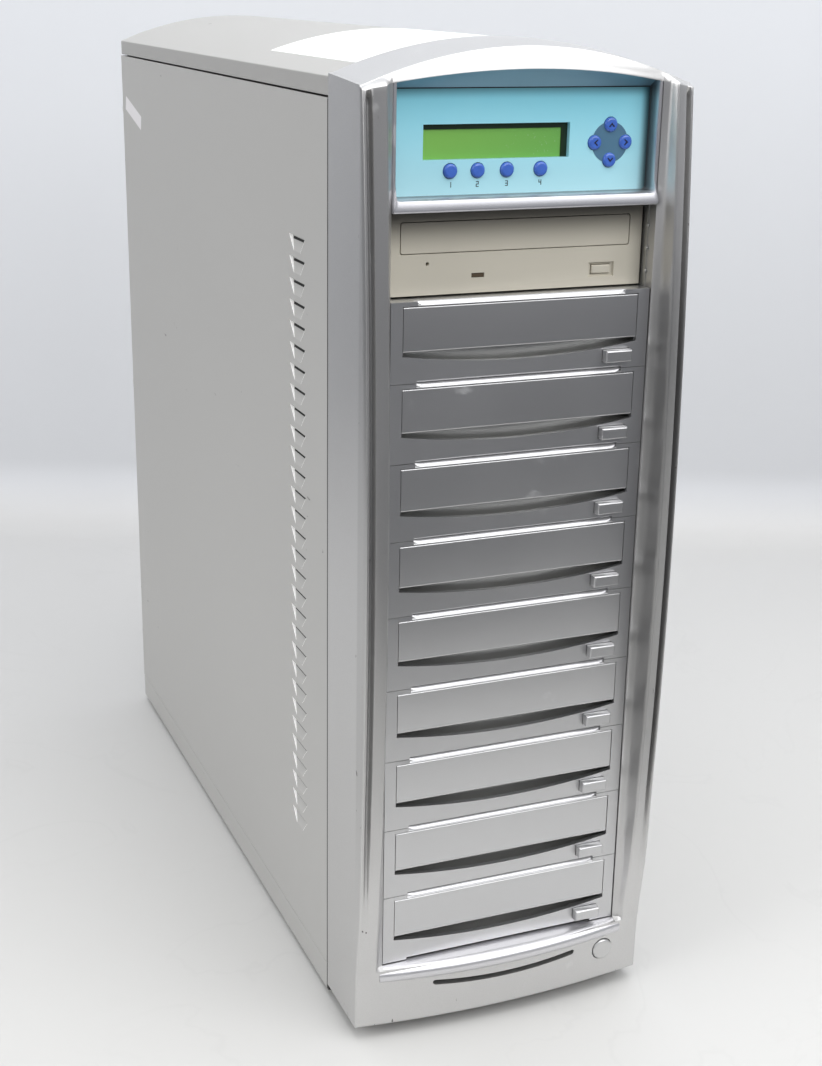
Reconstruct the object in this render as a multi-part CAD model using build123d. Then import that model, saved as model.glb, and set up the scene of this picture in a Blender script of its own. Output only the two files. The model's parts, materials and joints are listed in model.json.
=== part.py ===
from build123d import *
import os
from math import asin, degrees

os.makedirs("parts", exist_ok=True)

# A disc duplicator tower in millimetres. +Z is up, the front faces -Y, X runs to the viewer's right.
# The origin is on the floor, in the middle of the outline.

# ---------------------------------------------------------------- driving dimensions
SIDE_ROOM = 14.2        # between a drive cage wall and the side panel
CASE_D = 463.5          # from the bezel's back edge to the rear panel's outside
SHEET = 1.2             # case sheet metal
FOOT_H = 4.0            # rubber foot under the base pan
FOOT_R = 9.0
FOOT_INSET = 30.0       # foot centre from the case ends
FOOT_SIDE = 15.0        # and from its sides
RAIL_H = 17.2           # side rail of the base pan
SEAM = 0.5              # open seam between outside panels

BEZEL_PROUD = 0.5       # the front moulding is a little wider than the case on each side
BEZEL_D = 45.5          # its depth behind the drive faces
BEZEL_WALL = 3.0
BEZEL_LIFT = 8.5        # its lower edge above the floor
BACKING_OUT = 0.5       # backing strips behind the groove's ends, ahead of the drive faces
BOW_END = 2.5           # ridge ahead of the drive faces at both ends
BOW_SAG = 12.5          # how much further it stands out at mid height
RIB_EXTRA = 2.0         # the inner rib stands ahead of the outer ridge
GROOVE_DROP = 6.0       # the groove lies behind the ridge
CHIN_END = 2.0          # chin ahead of the drive faces at its ends, lower edge
CHIN_SAG = 7.0          # its bulge in plan
CHIN_LEAN = 0.8         # its upper edge stands further out
SILL_H = 7.6
SILL_REACH = 12.5
SILL_SAG = 7.5
SILL_ROUND = 4.5

BAY_Z = 46.0            # lowest drive bay above the floor
PITCH = 42.3            # bay pitch
WRITERS = 9
BAY_SIDE = 1.1          # room on each side of a drive
BEZEL_GAP = 0.3         # open line between two drive bezels
BAY_MARGIN = 0.6        # moulding edge below the lowest drive
FRAME_HEAD = 3.6        # cross bar of the front frame, with the top plate's sheet
HEAD_H = 53.2           # from the top bay to the top plate
PAN_RISE = 1.5          # cage walls and the front frame's sill below the lowest bay
PANEL_RISE = 11.1       # from the top plate to the cover's shoulder
VAULT_RISE = 18.7       # rise of the vaulted cover
HOOD_PROUD = 1.0        # the hood stands proud of the cover
HOOD_ROUND = 3.0        # its front edge

DRIVE_W = 146.0
DRIVE_D = 170.0
DRIVE_H = 41.3
DRIVE_SHEET = 1.0
PLUG_W, PLUG_D, PLUG_H = 60.0, 5.0, 10.0
DECK_UP = 8.0           # mechanism deck above the bay floor
MOUTH_IN = 7.6          # tray mouth from the drive's sides
MOUTH_Z = 21.6          # tray mouth above the bay floor
MOUTH_H = 16.4
TRAY_GAP = 0.4
TRAY_T = 5.5
TRAY_TRAVEL = 130.0
TRAY_HOLD = 12.0        # length that stays in the drive when the tray is out
DISC_R = 60.5
HUB_SLOT_R = 19.0       # the tray's opening for hub and lens

FRONT_GAP = 0.3         # open line between a writer bezel and the pillar
FRONT_T = 3.0           # its face plate
FRONT_D = 8.5           # its rim
FRONT_RIM = 1.6
NOTCH_IN = 8.0          # bevelled finger notch above the door, from the door's ends
DOOR_IN = 6.9           # door from the bezel's sides
DOOR_Z = 16.1           # door's lower edge above the bay floor
DOOR_H = 23.25
DOOR_T = 2.6
DOOR_GAP = 0.3
LIP_Z = 14.1            # ends of the smile-shaped lip below the door
LIP_SAG = 5.1
PIN_R = 1.0
PIN_FIT = 0.06
PIN_UP = 1.4            # pin axis above the door's lower edge
PIN_IN = 1.5            # pin axis behind the face
PIN_L = 1.5
EJECT_IN = 18.55        # button centre from the bezel's right side
EJECT_Z = 7.2
EJECT_W = 15.5
EJECT_H = 6.4
EJECT_OUT = 4.8
EJECT_TRAVEL = 1.5
KEY_GAP = 0.3           # clearance round keys and buttons

READER_SET = 10.0       # the reader's face lies behind the writers' faces
READER_T = 5.0
READER_MARGIN = 0.6
LED_X, LED_Z, LED_W, LED_H = -22.1, 9.6, 7.2, 2.4
PINHOLE_X, PINHOLE_Z, PINHOLE_R = -50.3, 16.6, 0.9
RBTN_IN, RBTN_Z, RBTN_W, RBTN_H = 23.7, 9.3, 10.8, 4.4
RBTN_TRAVEL = 1.0
RECESS_EDGE = 2.2       # recess round the reader's button
RECESS_DEEP = 1.5
POCKET_EDGE = 1.5       # pocket for the button's flange, behind the reader's face

WINDOW_IN = 2.1         # control panel window from the pillars
WINDOW_UP = 8.5         # its sill above the top bay
WINDOW_H = 55.5         # straight sides
WINDOW_RISE = 6.3
WINDOW_FRONT = 2.5      # frame face ahead of the drive faces
WINDOW_DEEP = 9.0       # overlay face behind the drive faces
FRAME_EDGE = 4.0
OVERLAY_T = 3.0
OVERLAY_LAP = 2.0
LCD_X, LCD_Z, LCD_W, LCD_H = -13.9, 34.5, 81.0, 17.2
LCD_RIM_W = 4.5
LCD_RIM_H = 0.8
LCD_T = 7.7
KEY_R = 3.7
KEY_OUT = 1.5
KEY_TRAVEL = 0.8
KEY_Z = 20.3            # function keys above the top bay
KEY_XS = (-39.5, -24.4, -8.2, 10.7)
ARROW_IN, ARROW_Z, ARROW_RING = 22.0, 32.7, 8.9
BOARD_T = 1.6
SWITCH_T = 1.8
SWITCH_W = 6.0
BOARD_POST_R = 2.5
BOARD_POST_IN = 4.0     # posts between overlay and board, from the window's edges
CONTROL_UP = 7.2        # controller board above the top bay
CONTROL_BACK = 30.0     # its front edge behind the keypad board
CONTROL_D = 145.0
SOCKET_D, SOCKET_PITCH = 14.0, 14.0

SLOT_W, SLOT_H, SLOT_Z, SLOT_SAG = 91.0, 3.2, 30.5, 3.0
POWER_IN, POWER_Z, POWER_R = 25.5, 28.5, 6.4
POWER_WALL = 2.3
POWER_SEAT = 6.0        # its switch behind the drive faces
POWER_TRAVEL = 1.5
POWER_OUT = 7.4

CAGE_T = 1.0
CAGE_D = 200.0
CAGE_SET = GROOVE_DROP + 0.3    # front end behind the drive faces
NUB_R = 3.0
SCREW_R = 1.5
SCREW_HEAD_R = 3.0
SCREW_HEAD_T = 2.2
SCREW_FIT = 0.1
NUB_YS = (60.0, 140.0)
SCREW_YS = (40.0, 120.0)

LOUVRES = 30
LOUVRE_PITCH = 12.08
LOUVRE_L = 27.0
LOUVRE_H = 8.5
LOUVRE_DEEP = 2.2
LOUVRE_Y = 84.0         # front end behind the drive faces
LOUVRE_TOP = 446.5      # first louvre above the floor

FAN = 80.0
FAN_T = 25.0
FAN_BORE_R = 38.2
HUB_R = 16.0
SHAFT_R = 1.5
SHAFT_FIT = 0.05
BLADES = 7
GRILLE_RS = (36.0, 26.0, 16.0)
GRILLE_SLOT = 6.0
GRILLE_BAR = 3.0
FAN_ZS = (110.0, 215.0)
PSU_W, PSU_D, PSU_H = 150.0, 140.0, 86.0
PSU_DROP = 6.0          # below the top plate
PSU_FAN_X = 30.0
INLET_X, INLET_UP = -48.0, 58.0
INLET_W, INLET_H, INLET_D = 27.0, 19.5, 16.0
ROCKER_UP = 26.0
ROCKER_W, ROCKER_H = 20.0, 12.0
ROCKER_TILT = 12.0
THUMB_R = 5.5
THUMB_T = 6.0
THUMB_SHANK_R = 1.9
THUMB_ZS = (60.0, 272.0, 484.0)
FLANGE_W = 12.0

# ---------------------------------------------------------------- derived places
BAY_W = DRIVE_W + 2 * BAY_SIDE           # clear width between the pillars
CASE_W = BAY_W + 2 * (CAGE_T + SIDE_ROOM + SHEET)
BEZEL_W = CASE_W + 2 * BEZEL_PROUD
FRONT_W = BAY_W - 2 * FRONT_GAP          # writer bezel
FRONT_H = PITCH - BEZEL_GAP
DOOR_W = FRONT_W - 2 * DOOR_IN
MOUTH_W = DRIVE_W - 2 * MOUTH_IN
WINDOW_W = BAY_W - 2 * WINDOW_IN
EJECT_X = FRONT_W / 2 - EJECT_IN
RBTN_X = DRIVE_W / 2 - RBTN_IN
ARROW_X = WINDOW_W / 2 - ARROW_IN
FRONT_REACH = BOW_END + BOW_SAG + RIB_EXTRA
REAR_REACH = SHEET + THUMB_T
DEPTH = FRONT_REACH + BEZEL_D + CASE_D + REAR_REACH
FACE = -DEPTH / 2 + FRONT_REACH          # plane of the writer bezel faces
JOIN = FACE + BEZEL_D                    # back edge of the front moulding
REAR = JOIN + CASE_D                     # outside of the rear panel
HALF = CASE_W / 2
SIDE = BEZEL_W / 2
POWER_X = SIDE - POWER_IN
BAY = BAY_W / 2
PAN_TOP = FOOT_H + SHEET
RAIL_TOP = FOOT_H + RAIL_H
STACK_TOP = BAY_Z + (WRITERS + 1) * PITCH
READER_BAY = BAY_Z + WRITERS * PITCH
TOP_Z = STACK_TOP + HEAD_H               # upside of the top plate
PANEL_LOW = RAIL_TOP + SEAM
PANEL_TOP = TOP_Z + SEAM
SHOULDER = TOP_Z + PANEL_RISE
CREST = SHOULDER + VAULT_RISE
HOOD_SHOULDER = SHOULDER + HOOD_PROUD
HOOD_CREST = CREST + HOOD_PROUD
WINDOW_Z = STACK_TOP + WINDOW_UP
FRAME_Z = STACK_TOP + 1.5
OVERLAY_Y = FACE + WINDOW_DEEP
BOARD_Y = OVERLAY_Y + OVERLAY_T + DOOR_GAP + LCD_T
CAGE_IN = BAY
CAGE_OUT = BAY + CAGE_T
DRIVE_Y = FACE + FRONT_D
POCKET_D = RBTN_TRAVEL + 1.4
TRAY_L = TRAY_TRAVEL + TRAY_HOLD
READER_Y = FACE + READER_SET + READER_T
PSU_Z = TOP_Z - SHEET - PSU_DROP - PSU_H
PSU_BACK = REAR - SHEET


# ---------------------------------------------------------------- helpers
def block(x0, x1, y0, y1, z0, z1):
    """A box between two opposite corners."""
    return Pos((x0 + x1) / 2, (y0 + y1) / 2, (z0 + z1) / 2) * Box(x1 - x0, y1 - y0, z1 - z0)


def rod_x(x0, x1, y, z, r):
    """A round bar along X."""
    return Pos((x0 + x1) / 2, y, z) * Rot(0, 90, 0) * Cylinder(r, x1 - x0)


def rod_y(x, y0, y1, z, r):
    """A round bar along Y."""
    return Pos(x, (y0 + y1) / 2, z) * Rot(90, 0, 0) * Cylinder(r, y1 - y0)


def rod_z(x, y, z0, z1, r):
    """A round bar along Z."""
    return Pos(x, y, (z0 + z1) / 2) * Cylinder(r, z1 - z0)


def prism_y(outline, y0, y1):
    """An outline drawn in X and Z, carried from y0 to y1."""
    return extrude(Plane.XZ.offset(-y1) * outline, y1 - y0)


def prism_x(outline, x0, x1):
    """An outline drawn in Y and Z, carried from x0 to x1."""
    return extrude(Plane.YZ.offset(x0) * outline, x1 - x0)


def arch(half, low, shoulder, crest):
    """An outline in X and Z with straight sides and an arc on top."""
    a, b = (-half, low), (half, low)
    c, d = (half, shoulder), (-half, shoulder)
    return make_face(Polyline(d, a, b, c) + ThreePointArc(c, (0, crest), d))


def save(name, *solids):
    """Write one node, as one solid or as a group of separate solids."""
    shape = solids[0] if len(solids) == 1 else Compound(children=list(solids))
    export_step(shape, f"parts/{name}.step")


def bay_floor(number):
    """Bay 1 is the writer nearest the reader, bay 9 the lowest."""
    return BAY_Z + (WRITERS - number) * PITCH


# ---------------------------------------------------------------- front moulding
def bow_sweep(profile):
    """Turns a plan profile, drawn at mid height, about a far axis, which bows it in side view."""
    half_height = (HOOD_CREST - BEZEL_LIFT) / 2
    radius = (half_height**2 + BOW_SAG**2) / (2 * BOW_SAG)
    middle = BEZEL_LIFT + half_height
    centre_y = FACE - BOW_END - BOW_SAG + radius
    angle = degrees(asin((half_height + 2 * BEZEL_WALL) / (radius - BEZEL_D)))
    axis = Axis((0, centre_y, middle), (1, 0, 0))
    plan = Pos(0, 0, middle) * profile
    return revolve(plan.rotate(axis, -angle), axis, 2 * angle)


def pillar_profile():
    """Right pillar in plan: outer ridge, groove, rib and the flank that faces the drives."""
    ridge = FACE - BOW_END - BOW_SAG
    rib = ridge - RIB_EXTRA
    groove = ridge + GROOVE_DROP
    back = JOIN + BEZEL_D
    a = (SIDE, ridge + 1.4)
    b = (SIDE - 3.0, ridge + 1.0)
    c = (SIDE - 4.0, groove - 1.2)
    d = (SIDE - 6.6, groove - 1.4)
    e = (SIDE - 7.4, rib + 2.8)
    f = (SIDE - 12.6, rib + 2.4)
    g = (BAY, FACE - 0.6)
    edges = ThreePointArc(a, (SIDE - 1.1, ridge), b) + Line(b, c)
    edges += ThreePointArc(c, (SIDE - 5.4, groove), d) + Line(d, e)
    edges += ThreePointArc(e, (SIDE - 9.8, rib), f) + Line(f, g)
    edges += Polyline(g, (BAY, back), (SIDE, back), a)
    return make_face(edges)


def plan_arc(half, reach_end, sag, back):
    """A plan outline whose front edge bulges towards -Y."""
    a, b = (-half, FACE - reach_end), (half, FACE - reach_end)
    front = ThreePointArc(a, (0, FACE - reach_end - sag), b)
    return make_face(front + Polyline(b, (half, back), (-half, back), a))


def chin(inset, low, high):
    """The block below the drives, drawn in by inset on its front."""
    lower = plan_arc(SIDE, CHIN_END - inset, CHIN_SAG, JOIN)
    upper = plan_arc(SIDE, CHIN_END + CHIN_LEAN - inset, CHIN_SAG, JOIN)
    return loft([Pos(0, 0, low) * lower, Pos(0, 0, high) * upper], ruled=True)


def sill():
    """The rounded bar under the lowest drive."""
    top = BAY_Z - BAY_MARGIN
    half = BAY + 4.4
    outline = plan_arc(half, SILL_REACH - SILL_SAG, SILL_SAG, FACE + BEZEL_WALL)
    bar = extrude(Pos(0, 0, top - SILL_H) * outline, SILL_H)
    front_top = bar.edges().filter_by(GeomType.CIRCLE).sort_by(Axis.Z)[-1]
    return fillet(front_top, SILL_ROUND)


def window_outline(grow, low):
    return arch(WINDOW_W / 2 + grow, low, WINDOW_Z + WINDOW_H, WINDOW_Z + WINDOW_H + WINDOW_RISE + grow)


def smile_slot():
    """The curved slit in the chin."""
    half = SLOT_W / 2
    a, b = (-half, SLOT_Z), (half, SLOT_Z)
    c, d = (half, SLOT_Z + SLOT_H), (-half, SLOT_Z + SLOT_H)
    lower = ThreePointArc(a, (0, SLOT_Z - SLOT_SAG), b)
    upper = ThreePointArc(c, (0, SLOT_Z + SLOT_H - SLOT_SAG), d)
    outline = make_face(lower + Line(b, c) + upper + Line(d, a))
    return prism_y(outline, FACE - FRONT_REACH, FACE + BEZEL_WALL)


def front_bezel():
    ahead = FACE - FRONT_REACH - 5
    outline = arch(SIDE, BEZEL_LIFT, HOOD_SHOULDER, HOOD_CREST)
    inside = SIDE - BEZEL_WALL
    inner = arch(inside, BEZEL_LIFT + BEZEL_WALL, HOOD_SHOULDER - BEZEL_WALL / 2, HOOD_CREST - BEZEL_WALL)
    ridge = FACE - BOW_END - BOW_SAG
    back = JOIN + BEZEL_D
    window_top = WINDOW_Z + WINDOW_H

    right = bow_sweep(pillar_profile())
    pillars = right + mirror(right, Plane.YZ)
    pillars -= block(-SIDE, SIDE, ahead, back, window_top - 2, HOOD_CREST + 1)
    wide = make_face(Polyline((-SIDE, ridge), (SIDE, ridge), (SIDE, back), (-SIDE, back), close=True))
    hood = bow_sweep(wide) & block(-SIDE, SIDE, ahead, JOIN, FRAME_Z, HOOD_CREST + 1)
    hood -= prism_y(window_outline(FRAME_EDGE, FRAME_Z - 1), ahead, FACE - WINDOW_FRONT)
    side_cut = block(BAY - 0.1, SIDE + 1, ahead, back, FRAME_Z - 1, window_top - 2)
    hood -= side_cut + mirror(side_cut, Plane.YZ)
    body = (pillars + hood + chin(0, BEZEL_LIFT, BAY_Z - BAY_MARGIN) + sill()) & prism_y(outline, ahead, JOIN)

    hollow_half = BAY + BEZEL_WALL
    groove = ridge + GROOVE_DROP
    shaft = make_face(
        Polyline(
            (hollow_half, groove + BEZEL_WALL),
            (SIDE - BEZEL_WALL, groove + BEZEL_WALL),
            (SIDE - BEZEL_WALL, back),
            (hollow_half, back),
            close=True,
        )
    )
    shaft = bow_sweep(shaft) & block(0, SIDE, ahead, back, BAY_Z, window_top - 2 - BEZEL_WALL)
    body -= prism_y(inner, FACE, JOIN)
    body -= shaft + mirror(shaft, Plane.YZ)
    front, low = FACE - BACKING_OUT, BAY_Z - BAY_MARGIN - 4
    head = block(BAY, inside + 1, front, FACE + BEZEL_WALL, FRAME_Z, window_top - 4)
    foot = block(BAY + BEZEL_WALL, inside + 1, front, FACE + BEZEL_WALL, low, BAY_Z + PITCH)
    for backing in (head, foot):
        body += backing + mirror(backing, Plane.YZ)
    space = block(-inside, inside, ahead, JOIN, BEZEL_LIFT + BEZEL_WALL, BAY_Z - BAY_MARGIN - SILL_H)
    body -= chin(BEZEL_WALL, BEZEL_LIFT, BAY_Z - BAY_MARGIN) & space
    body -= block(-BAY, BAY, ahead, JOIN, BAY_Z - BAY_MARGIN, FRAME_Z)

    ring = prism_y(window_outline(FRAME_EDGE, FRAME_Z), FACE - WINDOW_FRONT, OVERLAY_Y)
    body += ring
    body -= prism_y(window_outline(0, WINDOW_Z), ahead, JOIN)
    boss_y = FACE + POWER_SEAT
    body += rod_y(POWER_X, FACE - CHIN_END, boss_y, POWER_Z, POWER_R + KEY_GAP + POWER_WALL)
    body -= rod_y(POWER_X, ahead, boss_y, POWER_Z, POWER_R + KEY_GAP)
    body -= smile_slot()
    post = (SIDE - BEZEL_WALL) - 5
    posts = []
    for z in (BAY_Z + PITCH, BAY_Z + 4 * PITCH, BAY_Z + 7 * PITCH, STACK_TOP):
        clip = block(post, SIDE - BEZEL_WALL, FACE, JOIN, z, z + 6)
        posts += [clip, mirror(clip, Plane.YZ)]
    body += posts
    crests = body.edges().filter_by(lambda edge: edge.center().Z > HOOD_CREST - 1)
    crest_front = crests.sort_by(Axis.Y)[0]
    return fillet(crest_front, HOOD_ROUND)


# ---------------------------------------------------------------- writer fronts
def writer_bezel(z):
    half = FRONT_W / 2
    body = block(-half, half, FACE, FACE + FRONT_D, z, z + FRONT_H)
    inside, top = half - FRONT_RIM, z + FRONT_H - FRONT_RIM
    body -= block(-inside, inside, FACE + FRONT_T, FACE + FRONT_D, z + FRONT_RIM, top)
    side = DOOR_W / 2 + DOOR_GAP
    top = z + DOOR_Z + DOOR_H + DOOR_GAP
    low = z + LIP_Z
    edges = ThreePointArc((-side, low), (0, low - LIP_SAG), (side, low))
    edges += Polyline((side, low), (side, top), (-side, top), (-side, low))
    body -= prism_y(make_face(edges), FACE - 1, FACE + FRONT_T)
    bevel_top = z + FRONT_H
    bevel = Polyline((FACE, top + 0.25), (FACE, bevel_top), (FACE + FRONT_T - 0.3, bevel_top), close=True)
    body -= prism_x(make_face(bevel), NOTCH_IN - side, side - NOTCH_IN)
    under = Polyline((FACE, z), (FACE, z + 1.3), (FACE + 2, z), close=True)
    body -= prism_x(make_face(under), NOTCH_IN - side, side - NOTCH_IN)
    stop = FACE + FRONT_T
    body += block(NOTCH_IN - side, side - NOTCH_IN, stop, stop + 1.4, top - 1.4, z + FRONT_H - FRONT_RIM)
    pin_y, pin_z = FACE + PIN_IN, z + DOOR_Z + PIN_UP
    reach = DOOR_W / 2 + PIN_L + DOOR_GAP
    body -= rod_x(-reach, reach, pin_y, pin_z, PIN_R + PIN_FIT)
    body -= block(
        EJECT_X - EJECT_W / 2 - KEY_GAP,
        EJECT_X + EJECT_W / 2 + KEY_GAP,
        FACE - 1,
        FACE + FRONT_T,
        z + EJECT_Z - EJECT_H / 2 - KEY_GAP,
        z + EJECT_Z + EJECT_H / 2 + KEY_GAP,
    )
    return body


def door(z):
    """The flip-down door, with a pin at each lower corner."""
    half = DOOR_W / 2
    low, high = z + DOOR_Z, z + DOOR_Z + DOOR_H
    plate = block(-half, half, FACE, FACE + DOOR_T, low, high)
    top_front = plate.edges().filter_by(Axis.X).group_by(Axis.Z)[-1].sort_by(Axis.Y)[0]
    plate = chamfer(top_front, 0.5)
    low_front = plate.edges().filter_by(Axis.X).group_by(Axis.Z)[0].sort_by(Axis.Y)[0]
    plate = fillet(low_front, 1.0)
    reach = half + PIN_L
    pins = rod_x(-reach, reach, FACE + PIN_IN, low + PIN_UP, PIN_R)
    return plate + pins


def eject_button(z):
    x0, x1 = EJECT_X - EJECT_W / 2, EJECT_X + EJECT_W / 2
    z0, z1 = z + EJECT_Z - EJECT_H / 2, z + EJECT_Z + EJECT_H / 2
    cap = block(x0, x1, FACE - EJECT_OUT, FACE + FRONT_T + 1, z0, z1)
    front = cap.faces().sort_by(Axis.Y)[0]
    cap = chamfer(front.edges(), 0.6)
    flange_y = FACE + FRONT_T + KEY_GAP
    flange = block(x0 - 1.2, x1 + 1.2, flange_y, flange_y + 1.2, z0 - 1, z1 + 0.8)
    stem = rod_y(EJECT_X, flange_y, FACE + FRONT_D - EJECT_TRAVEL - 0.4, z + EJECT_Z, 2.0)
    return cap + flange + stem


# ---------------------------------------------------------------- drives
def drive_case(y, z, screw_z):
    """Sheet-metal case of one optical drive, open at the tray mouth."""
    half = DRIVE_W / 2
    low = z + (PITCH - 0.3 - DRIVE_H) / 2
    t = DRIVE_SHEET
    body = block(-half, half, y, y + DRIVE_D, low, low + DRIVE_H)
    body -= block(t - half, half - t, y + t, y + DRIVE_D - t, low + t, low + DRIVE_H - t)
    body -= block(-MOUTH_W / 2, MOUTH_W / 2, y, y + t, z + MOUTH_Z, z + MOUTH_Z + MOUTH_H)
    body -= [rod_x(-half - 1, half + 1, FACE + sy, screw_z, SCREW_R + SCREW_FIT / 2) for sy in SCREW_YS]
    back = y + DRIVE_D
    return body + block(-PLUG_W / 2, PLUG_W / 2, back, back + PLUG_D, low + 4, low + 4 + PLUG_H)


def tray(front_y, front_t, z, body_y):
    """Disc tray: a front plate and a thin body with the disc's recess and the hub's slot."""
    half = MOUTH_W / 2 - TRAY_GAP
    low = z + MOUTH_Z + TRAY_GAP
    plate = block(-half, half, front_y, front_y + front_t, low, low + MOUTH_H - 2 * TRAY_GAP)
    corners = plate.edges().filter_by(Axis.Y)
    plate = fillet(corners, 1.2)
    floor = low + 2.0
    body = block(1.5 - half, half - 1.5, body_y, front_y + TRAY_L, floor, floor + TRAY_T)
    centre = front_y + front_t + DISC_R + 4
    body -= rod_z(0, centre, floor + TRAY_T - 1.6, floor + TRAY_T, DISC_R)
    body -= rod_z(0, centre, floor, floor + TRAY_T, HUB_SLOT_R)
    body -= block(-HUB_SLOT_R, HUB_SLOT_R, centre, front_y + TRAY_L, floor, floor + TRAY_T)
    return plate + body


def mechanism(y, z):
    """Deck of a drive with its tray rails, spindle motor, hub and lens sled."""
    half = DRIVE_W / 2 - DRIVE_SHEET
    deck = z + DECK_UP
    under = z + MOUTH_Z + TRAY_GAP + 2.0 - 0.1
    centre = y + DISC_R + 8
    body = block(-half, half, y + 10, y + DRIVE_D - 12, deck, deck + 1.2)
    rail = block(MOUTH_W / 2 - 9, MOUTH_W / 2 - 5, y + 14, y + DRIVE_D - 20, deck + 1.2, under)
    motor = rod_z(0, centre, deck + 1.2, deck + 9, 13)
    hub = rod_z(0, centre, deck + 9, under - 0.6, 7.5)
    sled = block(-16, 16, centre + 20, centre + 46, deck + 1.2, deck + 8)
    lens = rod_z(0, centre + 28, deck + 8, deck + 10, 3.2)
    return body + [rail, mirror(rail, Plane.YZ), motor, hub, sled, lens]


def reader_bezel():
    z = READER_BAY
    y = FACE + READER_SET
    half = DRIVE_W / 2
    body = block(-half, half, y, y + READER_T, z + READER_MARGIN, z + PITCH - READER_MARGIN / 3)
    body = fillet(body.faces().sort_by(Axis.Y)[0].edges().filter_by(Axis.Z), 1.0)
    mouth = block(-MOUTH_W / 2, MOUTH_W / 2, y, y + READER_T, z + MOUTH_Z, z + MOUTH_Z + MOUTH_H)
    body -= fillet(mouth.edges().filter_by(Axis.Y), 1.4)
    led_z = z + LED_Z
    body -= block(LED_X - LED_W / 2, LED_X + LED_W / 2, y, y + READER_T, led_z - LED_H / 2, led_z + LED_H / 2)
    body -= rod_y(PINHOLE_X, y, y + READER_T, z + PINHOLE_Z, PINHOLE_R)

    def button_cut(grow_x, grow_z, y0, y1):
        w, h = RBTN_W / 2 + grow_x, RBTN_H / 2 + grow_z
        return block(RBTN_X - w, RBTN_X + w, y0, y1, z + RBTN_Z - h, z + RBTN_Z + h)

    body -= button_cut(RECESS_EDGE, RECESS_EDGE * 0.7, y, y + RECESS_DEEP)
    body -= button_cut(KEY_GAP, KEY_GAP, y, y + READER_T)
    return body - button_cut(POCKET_EDGE, POCKET_EDGE, y + READER_T - POCKET_D, y + READER_T)


def reader_button():
    y, z = FACE + READER_SET, READER_BAY + RBTN_Z
    w, h = RBTN_W / 2, RBTN_H / 2
    pocket = y + READER_T - POCKET_D
    cap = block(RBTN_X - w, RBTN_X + w, y + 0.3, pocket + 0.9, z - h, z + h)
    cap = chamfer(cap.faces().sort_by(Axis.Y)[0].edges(), 0.4)
    lip = POCKET_EDGE - 0.4
    flange = block(RBTN_X - w - lip, RBTN_X + w + lip, pocket + 0.2, pocket + 1.2, z - h - lip, z + h + lip)
    return cap + flange


def reader_led():
    """Light pipe behind the small window."""
    y, z = FACE + READER_SET, READER_BAY + LED_Z
    w, h = LED_W / 2 - 0.1, LED_H / 2 - 0.1
    return block(LED_X - w, LED_X + w, y + 0.4, y + READER_T, z - h, z + h)


# ---------------------------------------------------------------- control panel
def key_places():
    """Name and place of each key on the panel."""
    ring = {"up": (0, 1), "down": (0, -1), "left": (-1, 0), "right": (1, 0)}
    places = {f"function_key_{i + 1}": (x, STACK_TOP + KEY_Z) for i, x in enumerate(KEY_XS)}
    for name, (dx, dz) in ring.items():
        places[f"arrow_key_{name}"] = (ARROW_X + dx * ARROW_RING, STACK_TOP + ARROW_Z + dz * ARROW_RING)
    return places


def overlay():
    y = OVERLAY_Y
    low = WINDOW_Z - OVERLAY_LAP
    plate = prism_y(window_outline(OVERLAY_LAP, low), y, y + OVERLAY_T)
    x0, x1 = LCD_X - LCD_W / 2, LCD_X + LCD_W / 2
    z0, z1 = STACK_TOP + LCD_Z - LCD_H / 2, STACK_TOP + LCD_Z + LCD_H / 2
    plate -= block(x0, x1, y, y + OVERLAY_T, z0, z1)
    plate -= [rod_y(x, y, y + OVERLAY_T, z, KEY_R + KEY_GAP) for x, z in key_places().values()]
    post_x = WINDOW_W / 2 - BOARD_POST_IN
    for x in (-post_x, post_x):
        for z in (WINDOW_Z + BOARD_POST_IN, WINDOW_Z + WINDOW_H - BOARD_POST_IN):
            plate += rod_y(x, y + OVERLAY_T, BOARD_Y, z, BOARD_POST_R)
    return plate


def lcd_module():
    x0, x1 = LCD_X - LCD_W / 2 - LCD_RIM_W, LCD_X + LCD_W / 2 + LCD_RIM_W
    z0, z1 = STACK_TOP + LCD_Z - LCD_H / 2 - LCD_RIM_H, STACK_TOP + LCD_Z + LCD_H / 2 + LCD_RIM_H
    return block(x0, x1, BOARD_Y - LCD_T, BOARD_Y, z0, z1)


def keypad_board():
    half = WINDOW_W / 2 - 1
    board = block(-half, half, BOARD_Y, BOARD_Y + BOARD_T, WINDOW_Z, WINDOW_Z + WINDOW_H)
    r = SWITCH_W / 2
    front = BOARD_Y - SWITCH_T
    switches = [block(x - r, x + r, front, BOARD_Y, z - r, z + r) for x, z in key_places().values()]
    return board + switches


def key(x, z):
    """A domed key with a retaining flange and a stem that meets its switch."""
    y = OVERLAY_Y
    flange_y = y + OVERLAY_T + 0.2
    cap = rod_y(x, y - KEY_OUT, flange_y + 0.8, z, KEY_R)
    cap = fillet(cap.edges().sort_by(Axis.Y)[0], KEY_OUT - 0.2)
    flange = rod_y(x, flange_y, flange_y + 1, z, KEY_R + 0.8)
    stem = rod_y(x, flange_y, BOARD_Y - SWITCH_T - KEY_TRAVEL - 0.1, z, 1.5)
    return cap + [flange, stem]


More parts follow.
